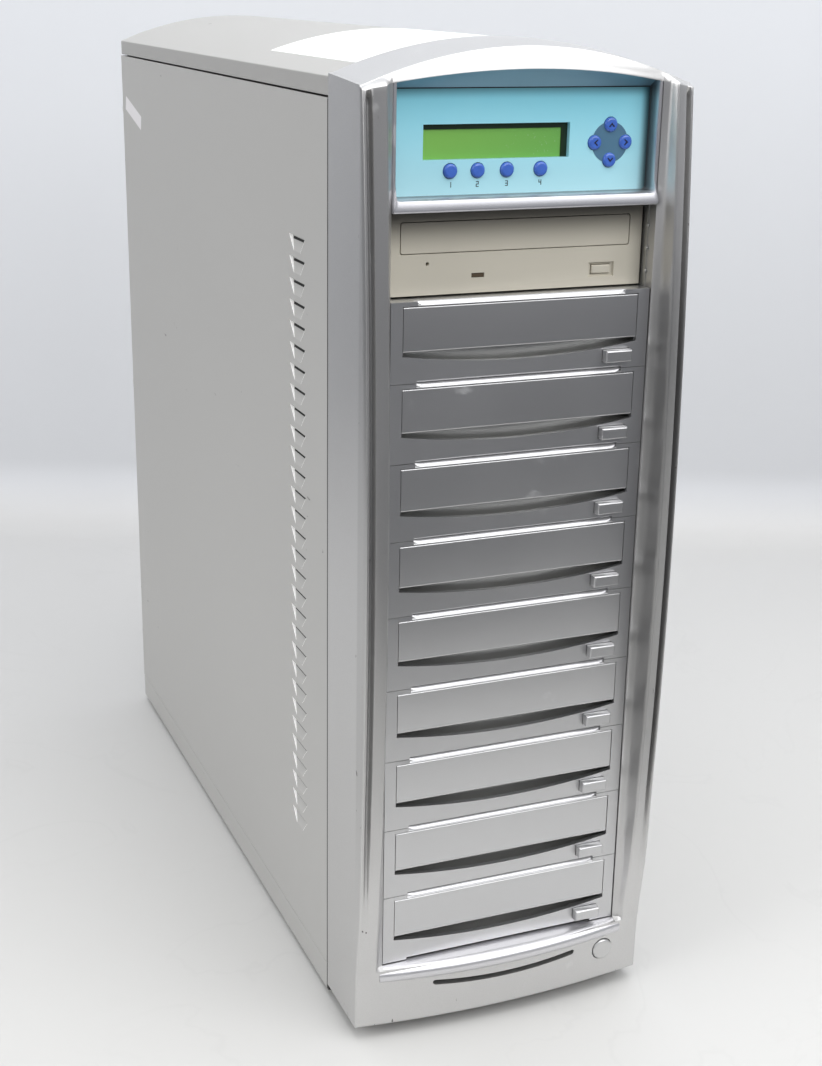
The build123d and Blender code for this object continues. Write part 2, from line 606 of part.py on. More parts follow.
def controller_board():
    z = STACK_TOP + CONTROL_UP
    y = BOARD_Y + CONTROL_BACK
    half = BAY - 2 * BEZEL_GAP
    board = block(-half, half, y, y + CONTROL_D, z, z + BOARD_T)
    top = z + BOARD_T
    middle = y + CONTROL_D / 2
    processor = block(-14, 14, middle - 14, middle + 14, top, top + 3)
    memory = block(28, 52, middle - 20, middle - 8, top, top + 2.4)
    bridge = block(-50, -30, middle - 40, middle - 20, top, top + 2.4)
    capacitor = rod_z(-45, middle + 10, top, top + 12, 5)
    back = y + CONTROL_D - 1
    places = [(n - WRITERS / 2) * SOCKET_PITCH for n in range(WRITERS + 1)]
    sockets = [block(x - 5, x + 5, back - SOCKET_D, back, top, top + 8) for x in places]
    return board + [processor, memory, bridge, capacitor] + sockets


# ---------------------------------------------------------------- case
def base_pan():
    body = block(-HALF, HALF, JOIN, REAR, FOOT_H, RAIL_TOP)
    return body - block(SHEET - HALF, HALF - SHEET, JOIN, REAR, PAN_TOP, RAIL_TOP)


def front_frame():
    inside = HALF - SHEET
    body = block(-inside, inside, JOIN, JOIN + SHEET, PAN_TOP, TOP_Z - SHEET)
    return body - block(-CAGE_OUT, CAGE_OUT, JOIN, JOIN + SHEET, BAY_Z - PAN_RISE, TOP_Z - FRAME_HEAD)


def cage(side):
    """A drive cage wall, with the nubs that centre each drive; side is 1 on the right, -1 on the left."""
    top_bay = STACK_TOP + 0.5
    leg_y = JOIN + 15
    back = FACE + CAGE_D
    wall = block(CAGE_IN, CAGE_OUT, FACE + CAGE_SET, back, BAY_Z - PAN_RISE, top_bay)
    wall += block(CAGE_IN, CAGE_OUT, BOARD_Y + 5, back, top_bay, TOP_Z - FRAME_HEAD)
    wall += block(CAGE_IN, CAGE_OUT, leg_y, back, PAN_TOP, BAY_Z - PAN_RISE)
    tab_z = STACK_TOP + CONTROL_UP
    extras = [block(CAGE_IN - 6, CAGE_IN, BOARD_Y + CONTROL_BACK + 5, back - 10, tab_z - 1.2, tab_z)]
    for number in range(WRITERS + 1):
        z = bay_floor(number)
        for y in NUB_YS:
            extras += [rod_x(DRIVE_W / 2, CAGE_IN, FACE + y, z + dz, NUB_R) for dz in (10, 31)]
    extras += [rod_x(CAGE_IN - 1, CAGE_IN, FACE + 6, READER_BAY + dz, 1.0) for dz in (8, 20, 32)]
    wall += extras
    holes = [rod_x(CAGE_IN, CAGE_OUT, FACE + y, screw_level(n), SCREW_R + SCREW_FIT)
             for n in range(WRITERS + 1) for y in SCREW_YS]
    wall -= holes
    return wall if side > 0 else mirror(wall, Plane.YZ)


def screw_level(number):
    """Height of the screws that hold the drive in a bay; bay 0 is the reader's."""
    return bay_floor(number) + 20.5


def drive_screws():
    """Pan-head screws through the cage walls into the drives."""
    screws = []
    for number in range(WRITERS + 1):
        for y in SCREW_YS:
            z = screw_level(number)
            head = rod_x(CAGE_OUT, CAGE_OUT + SCREW_HEAD_T, FACE + y, z, SCREW_HEAD_R)
            screw = head + rod_x(DRIVE_W / 2 - 2, CAGE_OUT, FACE + y, z, SCREW_R)
            screws += [screw, mirror(screw, Plane.YZ)]
    return screws


def top_plate():
    inside = HALF - SHEET
    return block(-inside, inside, JOIN, REAR, TOP_Z - SHEET, TOP_Z)


def top_cover():
    front = JOIN + 0.3
    skirt = PANEL_TOP + 2 * SEAM
    body = prism_y(arch(HALF, skirt, SHOULDER, CREST), front, REAR)
    inside = HALF - SHEET
    body -= prism_y(arch(inside, skirt - 1, SHOULDER - SHEET / 2, CREST - SHEET), front + SHEET, REAR - SHEET)
    tab = inside - BEZEL_WALL
    ends = [block(-tab, tab, y, y + SHEET, TOP_Z, skirt) for y in (front, REAR - SHEET)]
    return body + ends


def side_panel(side):
    """A flat panel with a column of louvres pressed inwards and a rear flange for the thumbscrews."""
    inside = HALF - SHEET
    panel = block(inside, HALF, JOIN + 0.8, REAR + SHEET, PANEL_LOW, PANEL_TOP)
    panel += block(HALF - FLANGE_W, HALF, REAR, REAR + SHEET, PANEL_LOW, PANEL_TOP)
    holes = [rod_y(thumb_x(), REAR, REAR + SHEET, z, THUMB_SHANK_R + 0.2) for z in THUMB_ZS]
    y0 = FACE + LOUVRE_Y
    y1 = y0 + LOUVRE_L
    hoods, mouths = [], []
    for i in range(LOUVRES):
        top = LOUVRE_TOP - i * LOUVRE_PITCH
        deep = HALF - LOUVRE_DEEP
        hood = Polyline((inside, top), (inside, top - LOUVRE_H - 1.3), (deep - SHEET, top), close=True)
        mouth = Polyline((HALF, top), (HALF, top - LOUVRE_H), (deep, top), close=True)
        hoods.append(prism_y(make_face(hood), y0 - 1, y1 + 1))
        mouths.append(prism_y(make_face(mouth), y0, y1))
    panel = (panel + hoods) - mouths - holes
    return panel if side > 0 else mirror(panel, Plane.YZ)


def thumb_x():
    return HALF - FLANGE_W / 2


def thumb_screws():
    screws = []
    for z in THUMB_ZS:
        y = REAR + SHEET
        head = rod_y(thumb_x(), y, y + THUMB_T, z, THUMB_R)
        head = chamfer(head.edges().sort_by(Axis.Y)[-1], 0.8)
        x, cross_y = thumb_x(), y + THUMB_T - 1.5
        head -= block(x - 3.5, x + 3.5, cross_y, y + THUMB_T, z - 0.5, z + 0.5)
        head -= block(x - 0.5, x + 0.5, cross_y, y + THUMB_T, z - 3.5, z + 3.5)
        screw = head + rod_y(thumb_x(), REAR - 5, y, z, THUMB_SHANK_R)
        screws += [screw, mirror(screw, Plane.YZ)]
    return screws


def grille(x, z, y0, y1):
    """Cutter for a stamped fan grille: three ring slots crossed by four bars."""
    rings = []
    for outer in GRILLE_RS:
        rings.append(rod_y(x, y0, y1, z, outer) - rod_y(x, y0, y1, z, outer - GRILLE_SLOT))
    r, w = FAN / 2, GRILLE_BAR / 2
    bars = [block(x - r, x + r, y0, y1, z - w, z + w), block(x - w, x + w, y0, y1, z - r, z + r)]
    return [ring - bars for ring in rings]


def rear_panel():
    inside = HALF - SHEET
    body = block(-inside, inside, REAR - SHEET, REAR, PAN_TOP, TOP_Z - SHEET)
    for z in FAN_ZS:
        body -= grille(0, z, REAR - SHEET, REAR)
    body -= block(5 - PSU_W / 2, PSU_W / 2 - 5, REAR - SHEET, REAR, PSU_Z + 5, PSU_Z + PSU_H - 5)
    places = [(side * thumb_x(), z) for side in (-1, 1) for z in THUMB_ZS]
    body -= [rod_y(x, REAR - SHEET, REAR, z, THUMB_SHANK_R + SCREW_FIT) for x, z in places]
    return body


def rubber_feet():
    x = HALF - FOOT_SIDE
    rows = (JOIN + FOOT_INSET, REAR - FOOT_INSET)
    return [rod_z(side * x, y, 0, FOOT_H, FOOT_R) for side in (-1, 1) for y in rows]


# ---------------------------------------------------------------- power and air
def fan_frame(x, z, back):
    """Square fan frame; its struts carry the motor base and the bearing tube."""
    half = FAN / 2
    front = back - FAN_T
    body = block(x - half, x + half, front, back, z - half, z + half)
    body -= rod_y(x, front, back, z, FAN_BORE_R)
    corner = half - 4.3
    body -= [rod_y(x + sx * corner, front, back, z + sz * corner, 2.2) for sx in (-1, 1) for sz in (-1, 1)]
    struts = [block(x - FAN_BORE_R, x + FAN_BORE_R, front, front + 3, z - 2, z + 2)]
    struts += [block(x - 2, x + 2, front, front + 3, z - FAN_BORE_R, z + FAN_BORE_R)]
    base = rod_y(x, front, front + 3, z, HUB_R + 1)
    tube = rod_y(x, front, front + 16, z, 4.0)
    return body + struts + base + tube - rod_y(x, front + 1, front + 16, z, SHAFT_R + SHAFT_FIT)


def fan_rotor(x, z, back):
    """Hub cup, shaft and tilted blades."""
    front = back - FAN_T
    hub = rod_y(x, front + 4, back - 2, z, HUB_R) - rod_y(x, front + 4, back - 5, z, HUB_R - 2)
    shaft = rod_y(x, front + 2, back - 4, z, SHAFT_R)
    tip = FAN_BORE_R - 1.4
    root = HUB_R - 1.2
    blade = Box(tip - root, 1.3, 15)
    blade = Pos((tip + root) / 2, 0, 0) * Rot(38, 0, 0) * blade
    middle = front + FAN_T / 2 + 1
    blades = [Pos(x, middle, z) * Rot(90, 0, 0) * Rot(0, 0, i * 360 / BLADES) * blade for i in range(BLADES)]
    swept = rod_y(x, front + 4, back - 1, z, tip) - rod_y(x, front + 4, back - 1, z, root)
    trimmed = [b & swept for b in blades]
    return hub + shaft + trimmed


def power_supply():
    half = PSU_W / 2
    front = PSU_BACK - PSU_D
    t = DRIVE_SHEET
    body = block(-half, half, front, PSU_BACK, PSU_Z, PSU_Z + PSU_H)
    body -= block(t - half, half - t, front + t, PSU_BACK - t, PSU_Z + t, PSU_Z + PSU_H - t)
    body -= grille(PSU_FAN_X, PSU_Z + PSU_H / 2, PSU_BACK - t, PSU_BACK)
    z = PSU_Z + INLET_UP
    w, h = INLET_W / 2, INLET_H / 2
    body -= block(INLET_X - w, INLET_X + w, PSU_BACK - t, PSU_BACK, z - h, z + h)
    z = PSU_Z + ROCKER_UP
    w, h = ROCKER_W / 2 + 0.5, ROCKER_H / 2 + 0.5
    body -= block(INLET_X - w, INLET_X + w, PSU_BACK - t, PSU_BACK, z - h, z + h)
    ear_x = ROCKER_W / 2 + 0.5
    ears = [block(INLET_X + a, INLET_X + b, PSU_BACK - 9, PSU_BACK - t, z - 4, z + 4)
            for a, b in ((-ear_x - 2.5, -ear_x), (ear_x, ear_x + 2.5))]
    pivot = rod_x(INLET_X - ear_x - 2, INLET_X + ear_x + 2, PSU_BACK - 5, z, PIN_R + PIN_FIT)
    slots = [block(x, x + 10, front, front + t, PSU_Z + 12, PSU_Z + PSU_H - 12) for x in range(-60, 60, 20)]
    return body + ears - pivot - slots


def psu_inlet():
    """Mains inlet: flange, shell and three blades."""
    z = PSU_Z + INLET_UP
    w, h = INLET_W / 2, INLET_H / 2
    body = block(INLET_X - w - 2, INLET_X + w + 2, PSU_BACK, PSU_BACK + SHEET, z - h - 2, z + h + 2)
    x, floor, mouth = INLET_X, PSU_BACK - INLET_D, PSU_BACK + SHEET
    shell_w, shell_h = w - 0.1, h - 0.1
    body += block(x - shell_w, x + shell_w, floor, PSU_BACK, z - shell_h, z + shell_h)
    body -= block(x - w + 1.4, x + w - 1.4, floor + 2, mouth, z - h + 1.4, z + h - 1.4)
    places = [(x - 7, z - 2), (x, z + 2), (x + 7, z - 2)]
    return body + [block(bx - 1, bx + 1, floor, PSU_BACK - 3, bz - 2.5, bz + 2.5) for bx, bz in places]


def psu_switch():
    """Rocker on two stub pins, tilted at rest as when switched off."""
    z = PSU_Z + ROCKER_UP
    y = PSU_BACK - 5
    w, h = ROCKER_W / 2, ROCKER_H / 2
    rim = y + 4.2
    outline = Polyline((y - 2, z - 2), (rim, z - h), (rim + 1.4, z), (rim, z + h), (y - 2, z + 2), close=True)
    body = prism_x(make_face(outline), INLET_X - w, INLET_X + w)
    body += rod_x(INLET_X - w - 1.8, INLET_X + w + 1.8, y, z, PIN_R)
    return body.rotate(Axis((INLET_X, y, z), (1, 0, 0)), ROCKER_TILT / 2)


# ---------------------------------------------------------------- power button
def power_button():
    cap = rod_y(POWER_X, FACE - POWER_OUT, FACE + 1, POWER_Z, POWER_R)
    cap = fillet(cap.edges().sort_by(Axis.Y)[0], 1.2)
    return cap + rod_y(POWER_X, FACE + 1, FACE + POWER_SEAT - POWER_TRAVEL - 0.2, POWER_Z, 2.0)


def power_switch():
    return rod_y(POWER_X, FACE + POWER_SEAT, FACE + POWER_SEAT + 11, POWER_Z, POWER_R + KEY_GAP + POWER_WALL)


# ---------------------------------------------------------------- nodes
def build():
    save("front_bezel", front_bezel())
    save("base_pan", base_pan())
    save("front_frame", front_frame())
    save("rear_panel", rear_panel())
    save("top_plate", top_plate())
    save("top_cover", top_cover())
    save("side_panel_right", side_panel(1))
    save("side_panel_left", side_panel(-1))
    save("cage_right", cage(1))
    save("cage_left", cage(-1))
    save("rubber_feet", *rubber_feet())
    save("thumb_screws", *thumb_screws())
    save("drive_screws", *drive_screws())

    bays = range(1, WRITERS + 1)
    save("writer_bezels", *[writer_bezel(bay_floor(n)) for n in bays])
    for n in bays:
        save(f"door_{n}", door(bay_floor(n)))
        save(f"eject_button_{n}", eject_button(bay_floor(n)))
    tray_y = DRIVE_Y + 0.4
    save("writer_trays", *[tray(tray_y, 2.0, bay_floor(n), tray_y + 2.0) for n in bays])
    cases = [drive_case(DRIVE_Y, bay_floor(n), screw_level(n)) for n in bays]
    save("drive_cases", *cases, drive_case(READER_Y, READER_BAY, screw_level(0)))
    decks = [mechanism(DRIVE_Y, bay_floor(n)) for n in bays]
    save("drive_mechanisms", *decks, mechanism(READER_Y, READER_BAY))

    face = FACE + READER_SET
    save("reader_bezel", reader_bezel())
    save("reader_tray", tray(face, READER_T - 1.2, READER_BAY, face + READER_T - 1.2))
    save("reader_eject_button", reader_button())
    save("reader_led", reader_led())

    save("control_overlay", overlay())
    save("lcd_module", lcd_module())
    save("keypad_board", keypad_board())
    save("controller_board", controller_board())
    for name, (x, z) in key_places().items():
        save(name, key(x, z))
    save("power_button", power_button())
    save("power_switch", power_switch())

    fan_back = REAR - SHEET
    psu_fan = (PSU_FAN_X, PSU_Z + PSU_H / 2, PSU_BACK - DRIVE_SHEET)
    frames = [fan_frame(0, z, fan_back) for z in FAN_ZS]
    save("fan_frames", *frames, fan_frame(*psu_fan))
    for i, z in enumerate(FAN_ZS):
        save(f"exhaust_fan_rotor_{i + 1}", fan_rotor(0, z, fan_back))
    save("psu_fan_rotor", fan_rotor(*psu_fan))
    save("power_supply", power_supply())
    save("psu_inlet", psu_inlet())
    save("psu_switch", psu_switch())


build()
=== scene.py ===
# %% [markdown]
# # A disc duplicator tower
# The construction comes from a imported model, which gives every rigid piece at its real size. This script
# dresses it: rounded mouldings, pressed sheet metal, paint, printed film and light. Everything is in metres,
# the tower faces -Y and Z is up.

# %% Load the frame
import json
from math import radians

import bmesh
import bpy
import numpy as np
from mathutils import Matrix, Vector


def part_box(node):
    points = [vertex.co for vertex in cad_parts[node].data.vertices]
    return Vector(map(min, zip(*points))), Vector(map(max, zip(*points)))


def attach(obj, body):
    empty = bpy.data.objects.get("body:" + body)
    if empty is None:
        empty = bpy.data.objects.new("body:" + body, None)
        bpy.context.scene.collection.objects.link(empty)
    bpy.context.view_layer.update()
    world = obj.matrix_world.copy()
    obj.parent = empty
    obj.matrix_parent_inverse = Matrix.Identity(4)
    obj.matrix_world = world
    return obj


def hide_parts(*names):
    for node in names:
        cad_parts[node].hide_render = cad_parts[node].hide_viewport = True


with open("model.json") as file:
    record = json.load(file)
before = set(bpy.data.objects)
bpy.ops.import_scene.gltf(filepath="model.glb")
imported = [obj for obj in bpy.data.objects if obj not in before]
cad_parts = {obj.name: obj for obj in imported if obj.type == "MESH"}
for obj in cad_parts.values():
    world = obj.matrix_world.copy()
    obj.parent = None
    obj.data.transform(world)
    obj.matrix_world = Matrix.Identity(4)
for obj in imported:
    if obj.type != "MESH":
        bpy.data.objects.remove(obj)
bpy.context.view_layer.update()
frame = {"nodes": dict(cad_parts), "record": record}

nodes = frame["nodes"]

# %% [markdown]
# ## Places that the pieces share
# A piece that is modelled here has to meet its neighbours, so its sizes are read from the frame's boxes. The
# nine writer drives are stacked at one pitch below the reader, which is the drive that stands back a little.

# %% Sizes read from the frame
MM = 0.001
WRITERS = 9


def box(node):
    """Lowest and highest corner of a node as two arrays."""
    low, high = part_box(node)
    return np.array(low), np.array(high)


face_y = box("writer_bezels")[0][1]
case_low, case_high = box("side_panel_right")
half_width = box("top_cover")[1][0]
join_y = box("base_pan")[0][1]
print("face plane", round(face_y, 4), "case front", round(join_y, 4), "half width", round(half_width, 4))

# %% [markdown]
# ## Camera
# The camera stands left of the tower and a little above its top, as for a product photograph. Its lens and
# place were solved from the corners of the drive fronts, whose size is known.

# %% Camera
CAMERA_PLACE = Vector((-0.37558, -1.00948, 0.57878))
CAMERA_AZIMUTH, CAMERA_ELEVATION, CAMERA_ROLL = -22.496, 18.458, 0.993
FOCAL_PIXELS, IMAGE_HEIGHT = 1652.9, 1066
SENSOR = 36.0

azimuth, elevation = radians(CAMERA_AZIMUTH), radians(CAMERA_ELEVATION)
back = Vector((np.sin(azimuth) * np.cos(elevation), -np.cos(azimuth) * np.cos(elevation), np.sin(elevation)))
camera_data = bpy.data.cameras.new("camera")
camera_data.sensor_width = SENSOR
camera_data.lens = FOCAL_PIXELS / IMAGE_HEIGHT * SENSOR
camera_data.clip_start = 0.02
camera = bpy.data.objects.new("camera", camera_data)
turn = (-back).to_track_quat("-Z", "Y").to_matrix() @ Matrix.Rotation(radians(CAMERA_ROLL), 3, "Z")
camera.matrix_world = Matrix.Translation(CAMERA_PLACE) @ turn.to_4x4()
bpy.context.scene.collection.objects.link(camera)
bpy.context.scene.camera = camera
print("lens", round(camera_data.lens, 2), "mm")

# %% [markdown]
# ## Shader maths in plain Python
# A material is easier to read as a formula than as a web of nodes. `Wire` wraps an output socket, and each
# operator on it adds a Math node. `Finish` holds one Principled material, and its `node` method adds any other
# node: first its settings, then what goes into its sockets.

# %% Wires and finishes
class Wire:
    """An output socket that can be added, multiplied and compared."""

    def __init__(self, finish, socket):
        self.finish, self.socket = finish, socket

    def math(self, operation, *operands):
        return self.finish.node("ShaderNodeMath", {"operation": operation}, dict(enumerate(operands)))

    def __add__(self, other):
        return self.math("ADD", self, other)

    def __sub__(self, other):
        return self.math("SUBTRACT", self, other)

    def __rsub__(self, other):
        return self.math("SUBTRACT", other, self)

    def __mul__(self, other):
        return self.math("MULTIPLY", self, other)

    def __abs__(self):
        return self.math("ABSOLUTE", self)

    def above(self, edge, soft):
        """A mask that rises from 0 to 1 over `soft`, centred on `edge`."""
        sockets = {"Value": self, "From Min": edge - soft / 2, "From Max": edge + soft / 2}
        return self.finish.node("ShaderNodeMapRange", {"interpolation_type": "SMOOTHSTEP"}, sockets)

    def below(self, edge, soft):
        return 1 - self.above(edge, soft)

    __radd__, __rmul__ = __add__, __mul__


class Finish:
    """A node material around one Principled shader."""

    def __init__(self, name, **sockets):
        self.material = bpy.data.materials.new(name)
        self.material.use_nodes = True
        self.tree = self.material.node_tree
        self.shader = self.tree.nodes["Principled BSDF"]
        self.set(**sockets)

    def feed(self, node, sockets):
        """Put a wire, a number or a colour into each named socket of a node."""
        for key, value in sockets.items():
            if isinstance(value, Wire):
                self.tree.links.new(value.socket, node.inputs[key])
            else:
                coloured = node.inputs[key].type == "RGBA"
                node.inputs[key].default_value = (*value, 1.0) if coloured else value

    def node(self, kind, settings, sockets, output=0):
        """Any node: its settings first, then its sockets; the result is one of its outputs."""
        made = self.tree.nodes.new(kind)
        for key, value in settings.items():
            setattr(made, key, value)
        self.feed(made, sockets)
        return Wire(self, made.outputs[output])

    def place(self):
        """Object coordinates, which stay on the piece when it moves."""
        return self.node("ShaderNodeTexCoord", {}, {}, "Object")

    def axes(self):
        """The three object coordinates in metres, each as a wire."""
        split = self.node("ShaderNodeSeparateXYZ", {}, {0: self.place()}).socket.node
        return [Wire(self, output) for output in split.outputs]

    def stretched(self, x, y, z):
        """Object coordinates scaled by axis, for streaks and brushed grain."""
        sockets = {"Vector": self.place(), "Scale": (x, y, z)}
        return self.node("ShaderNodeMapping", {"vector_type": "POINT"}, sockets)

    def noise(self, scale, detail=2.0, vector=None, distortion=0.0):
        """Cloud noise from 0 to 1; `scale` is features per metre."""
        sockets = {"Vector": vector or self.place(), "Scale": scale, "Detail": detail, "Distortion": distortion}
        return self.node("ShaderNodeTexNoise", {}, sockets, "Fac")

    def blend(self, mask, first, second):
        """A colour that goes from the first to the second where the mask rises.

        The sockets' numbers are those of a Mix node's colour sockets.
        """
        return self.node("ShaderNodeMix", {"data_type": "RGBA"}, {0: mask, 6: first, 7: second}, 2)

    def bumps(self, height, depth, strength=1.0):
        """Light reacts to `height` as to a relief that is `depth` metres high."""
        sockets = {"Height": height, "Distance": depth, "Strength": strength}
        self.set(Normal=self.node("ShaderNodeBump", {}, sockets))

    def set(self, **sockets):
        """Sockets of the shader itself; an underscore stands for a space."""
        self.feed(self.shader, {key.replace("_", " "): value for key, value in sockets.items()})


def shade(colour, factor):
    """A colour made lighter or darker by a plain number."""
    return tuple(min(1.0, channel * factor) for channel in colour)


print("Wire and Finish are ready")

# %% [markdown]
# ## Silver moulding paint
# The front moulding is plastic, sprayed with a fine aluminium paint. Close up it sparkles a little; from a step
# away it is a soft grey that mirrors the bright table in its lower half. Handling has chipped the outer ridges
# down to dark plastic and left pale rub marks. The chips are noise that shows only in a narrow band along the
# ridges, so they can't wander over the whole face.

# %% Silver finishes
SILVER = (0.60, 0.595, 0.59)
CHIP = (0.09, 0.085, 0.08)
LEFT_FLANK, RIGHT_FLANK, OUTER_RIDGE = -0.0768, 0.0748, 0.0845


def silver_finish(name, colour, metallic, roughness, inside=1.0, wear_and_shade=False):
    """Sprayed aluminium. The last switch adds wear and a painted shade on the pillars' fronts; `inside` below 1
    paints shade on what lies behind the drive faces.
    """
    finish = Finish(name, Coat_Roughness=0.3, Coat_Weight=0.12)
    flakes, clouds = finish.noise(2600, 1.0), finish.noise(11, 3.0)
    grain = finish.blend(flakes.above(0.5, 0.3), shade(colour, 0.95), shade(colour, 1.05))
    tone = finish.blend(clouds, shade(colour, 0.95), shade(colour, 1.03))
    base = finish.blend(0.5, grain, tone)
    x, y, z = finish.axes()
    rubs = finish.noise(42, 5.0).above(0.66, 0.06) * finish.noise(9, 1.0).above(0.5, 0.1)
    base = finish.blend(rubs * 0.35, base, shade(colour, 1.25))
    dull = roughness + clouds * 0.08 + rubs * 0.12
    metal = metallic
    if inside < 1:
        # Painted shade on what lies behind the drive faces.
        base = finish.blend(y.above(face_y + 0.002, 0.004), base, shade(colour, inside))
    if wear_and_shade:
        # Painted shade: the pillars' fronts above the chin mirror the dim room and are painted darker, the right
        # one more than the left one.
        front = y.below(face_y - 0.0005, 0.003) * z.above(0.13, 0.12)
        left = x.below(LEFT_FLANK, 0.004) * 0.3
        right = x.above(RIGHT_FLANK, 0.003) * z.below(0.44, 0.12) * 0.9
        base = finish.blend(front * (left + right), base, shade(colour, 0.5))
        # Chips sit on the outer ridges and along the foot, not where both meet.
        edge = abs(x).above(OUTER_RIDGE, 0.003) * y.below(face_y + 0.001, 0.004)
        low = z.below(0.016, 0.01)
        worn = finish.noise(320, 2.0, finish.stretched(1.0, 1.0, 0.45)).above(0.715, 0.02)
        mask = worn * finish.noise(24, 1.0).above(0.52, 0.08) * (edge + low).below(2.0, 0.1) * (edge + low)
        base = finish.blend(mask, base, CHIP)
        metal = metallic - mask * metallic
    finish.set(Base_Color=base, Roughness=dull, Metallic=metal)
    finish.bumps(flakes, 0.00002, 0.35)
    return finish.material


silver_moulding = silver_finish("silver_moulding_paint", SILVER, 0.86, 0.3, wear_and_shade=True)
drive_silver = silver_finish("drive_front_paint", (0.58, 0.58, 0.585), 0.93, 0.3)
button_silver = silver_finish("button_paint", (0.58, 0.58, 0.575), 0.85, 0.3)
bright_silver = silver_finish("bright_moulding_paint", (0.66, 0.655, 0.675), 0.88, 0.27)
# The window frame's inside is painted darker (inside 0.4): painted shade in its recess.
frame_silver = silver_finish("window_frame_paint", (0.56, 0.56, 0.59), 0.88, 0.32, 0.4)
# The ledges' silver is a lighter copy of the drive fronts' paint: a painted highlight.
ledge_painted_highlight = silver_finish("ledge_paint", (0.66, 0.66, 0.67), 0.85, 0.34)
print("silver finishes ready")

# %% [markdown]
# ## Case paint
# The sheet-metal case has a warm grey powder coat with a faint orange peel. Years of use left long shallow
# scratches and short dark scuffs. A blank paper label sticks high up on the left side, near the back, and a
# painted shadow darkens the panels' front edge, in the gap where they meet the front moulding.

# %% Case paint
CASE_GREY = (0.44, 0.435, 0.42)
LABEL_Y, LABEL_Z, LABEL_TILT = 0.2274, 0.4835, radians(14)
LABEL_LONG, LABEL_TALL, LABEL_EDGE, LABEL_WHITE = 0.048, 0.010, 0.0008, (0.78, 0.76, 0.77)
GAP_WIDTH, GAP_BELOW, GAP_EDGE, GAP_SHADOW = 0.0028, 0.0003, 0.0004, (0.03, 0.028, 0.026)


def case_finish(name, colour):
    """Powder coat with scratches, scuffs, the label on the left and a painted shadow in the gap at the panels'
    front.
    """
    finish = Finish(name, Coat_Weight=0.05, Coat_Roughness=0.4)
    clouds, peel = finish.noise(5, 3.0), finish.noise(1400, 2.0)
    base = finish.blend(clouds, shade(colour, 0.96), shade(colour, 1.03))
    long_marks = finish.noise(9, 1.0, finish.stretched(1, 6, 1.2), 1.5)
    scratch = long_marks.above(0.5, 0.012) * long_marks.below(0.506, 0.012)
    scratch = scratch * finish.noise(4, 1.0).above(0.6, 0.06)
    scuffs = finish.noise(70, 2.0, finish.stretched(1, 1, 2.2)).above(0.755, 0.02)
    scuffs = scuffs * finish.noise(6, 1.0).above(0.56, 0.05)
    base = finish.blend(scratch * 0.3, base, shade(colour, 1.3))
    base = finish.blend(scuffs * 0.7, base, shade(colour, 0.3))
    x, y, z = finish.axes()
    along = (y - LABEL_Y) * np.cos(LABEL_TILT) + (z - LABEL_Z) * np.sin(LABEL_TILT)
    up = (z - LABEL_Z) * np.cos(LABEL_TILT) - (y - LABEL_Y) * np.sin(LABEL_TILT)
    label = abs(along).below(LABEL_LONG / 2, LABEL_EDGE) * abs(up).below(LABEL_TALL / 2, LABEL_EDGE)
    base = finish.blend(label * x.below(0, 0.02), base, LABEL_WHITE)
    # Painted shadow: the panels' front strip, in the gap behind the moulding, is darkened.
    gap = y.below(join_y + GAP_WIDTH, GAP_EDGE) * z.below(case_high[2] - GAP_BELOW, GAP_EDGE)
    base = finish.blend(gap, base, GAP_SHADOW)
    finish.set(Base_Color=base, Roughness=0.46 + clouds * 0.08)
    finish.bumps(peel, 0.00003, 0.3)
    return finish.material


case_paint = case_finish("case_powder_coat", CASE_GREY)
# The cover's copy of the powder coat is darker by 0.86: a painted shade.
cover_paint_shaded = case_finish("cover_powder_coat_shaded", shade(CASE_GREY, 0.86))
print("case paint:", case_paint.name)

# %% [markdown]
# ## Plain finishes
# Inside and at the back there are zinc-plated steel, black mouldings, rubber and circuit boards. They share one
# recipe: a base colour broken up by clouds, a grain in the bump, and a roughness that follows the clouds. The
# reader's beige plastic has its own, with a painted shadow along its top and darker towards its right end.

# %% Plain finishes
BEIGE = (0.60, 0.565, 0.475)
SHADOW_HIGH = 0.021


def plain_finish(name, colour, roughness, grain_scale, grain_depth, metallic=0.0, spread=0.06,
                 stretch=(1, 1, 1), **more):
    """One colour that clouds move by `spread` either way, on a grain of `grain_depth` metres."""
    finish = Finish(name, Metallic=metallic, **more)
    place = finish.stretched(*stretch)
    clouds, grain = finish.noise(30, 3.0, place), finish.noise(grain_scale, 2.0, place)
    finish.set(Base_Color=finish.blend(clouds, shade(colour, 1 - spread), shade(colour, 1 + spread)))
    finish.set(Roughness=roughness + clouds * 0.1)
    finish.bumps(grain, grain_depth, 0.4)
    return finish.material


plated_steel = plain_finish("plated_steel", (0.58, 0.58, 0.56), 0.32, 300, 0.00003, 0.85, 0.08, (1, 1, 6))
screw_metal = plain_finish("screw_metal", (0.66, 0.66, 0.65), 0.25, 900, 0.00002, 0.9)
black_plastic = plain_finish("black_plastic", (0.025, 0.025, 0.026), 0.42, 1500, 0.00003, 0.0, 0.15)
foot_rubber = plain_finish("foot_rubber", (0.022, 0.022, 0.022), 0.7, 900, 0.00006, 0.0, 0.2)
beige_plastic = plain_finish("beige_plastic", BEIGE, 0.42, 1300, 0.00003, 0.0, 0.03)
# Painted highlight: the louvres' leaning walls are light and glow faintly, as if lit.
louvre_painted_glow = {"Emission_Color": (1.0, 1.0, 0.98), "Emission_Strength": 0.3}
louvre_painted_highlight = plain_finish("louvre_painted_highlight", (0.86, 0.86, 0.85), 0.4, 900, 0.00002, 0.0, 0.02, **louvre_painted_glow)
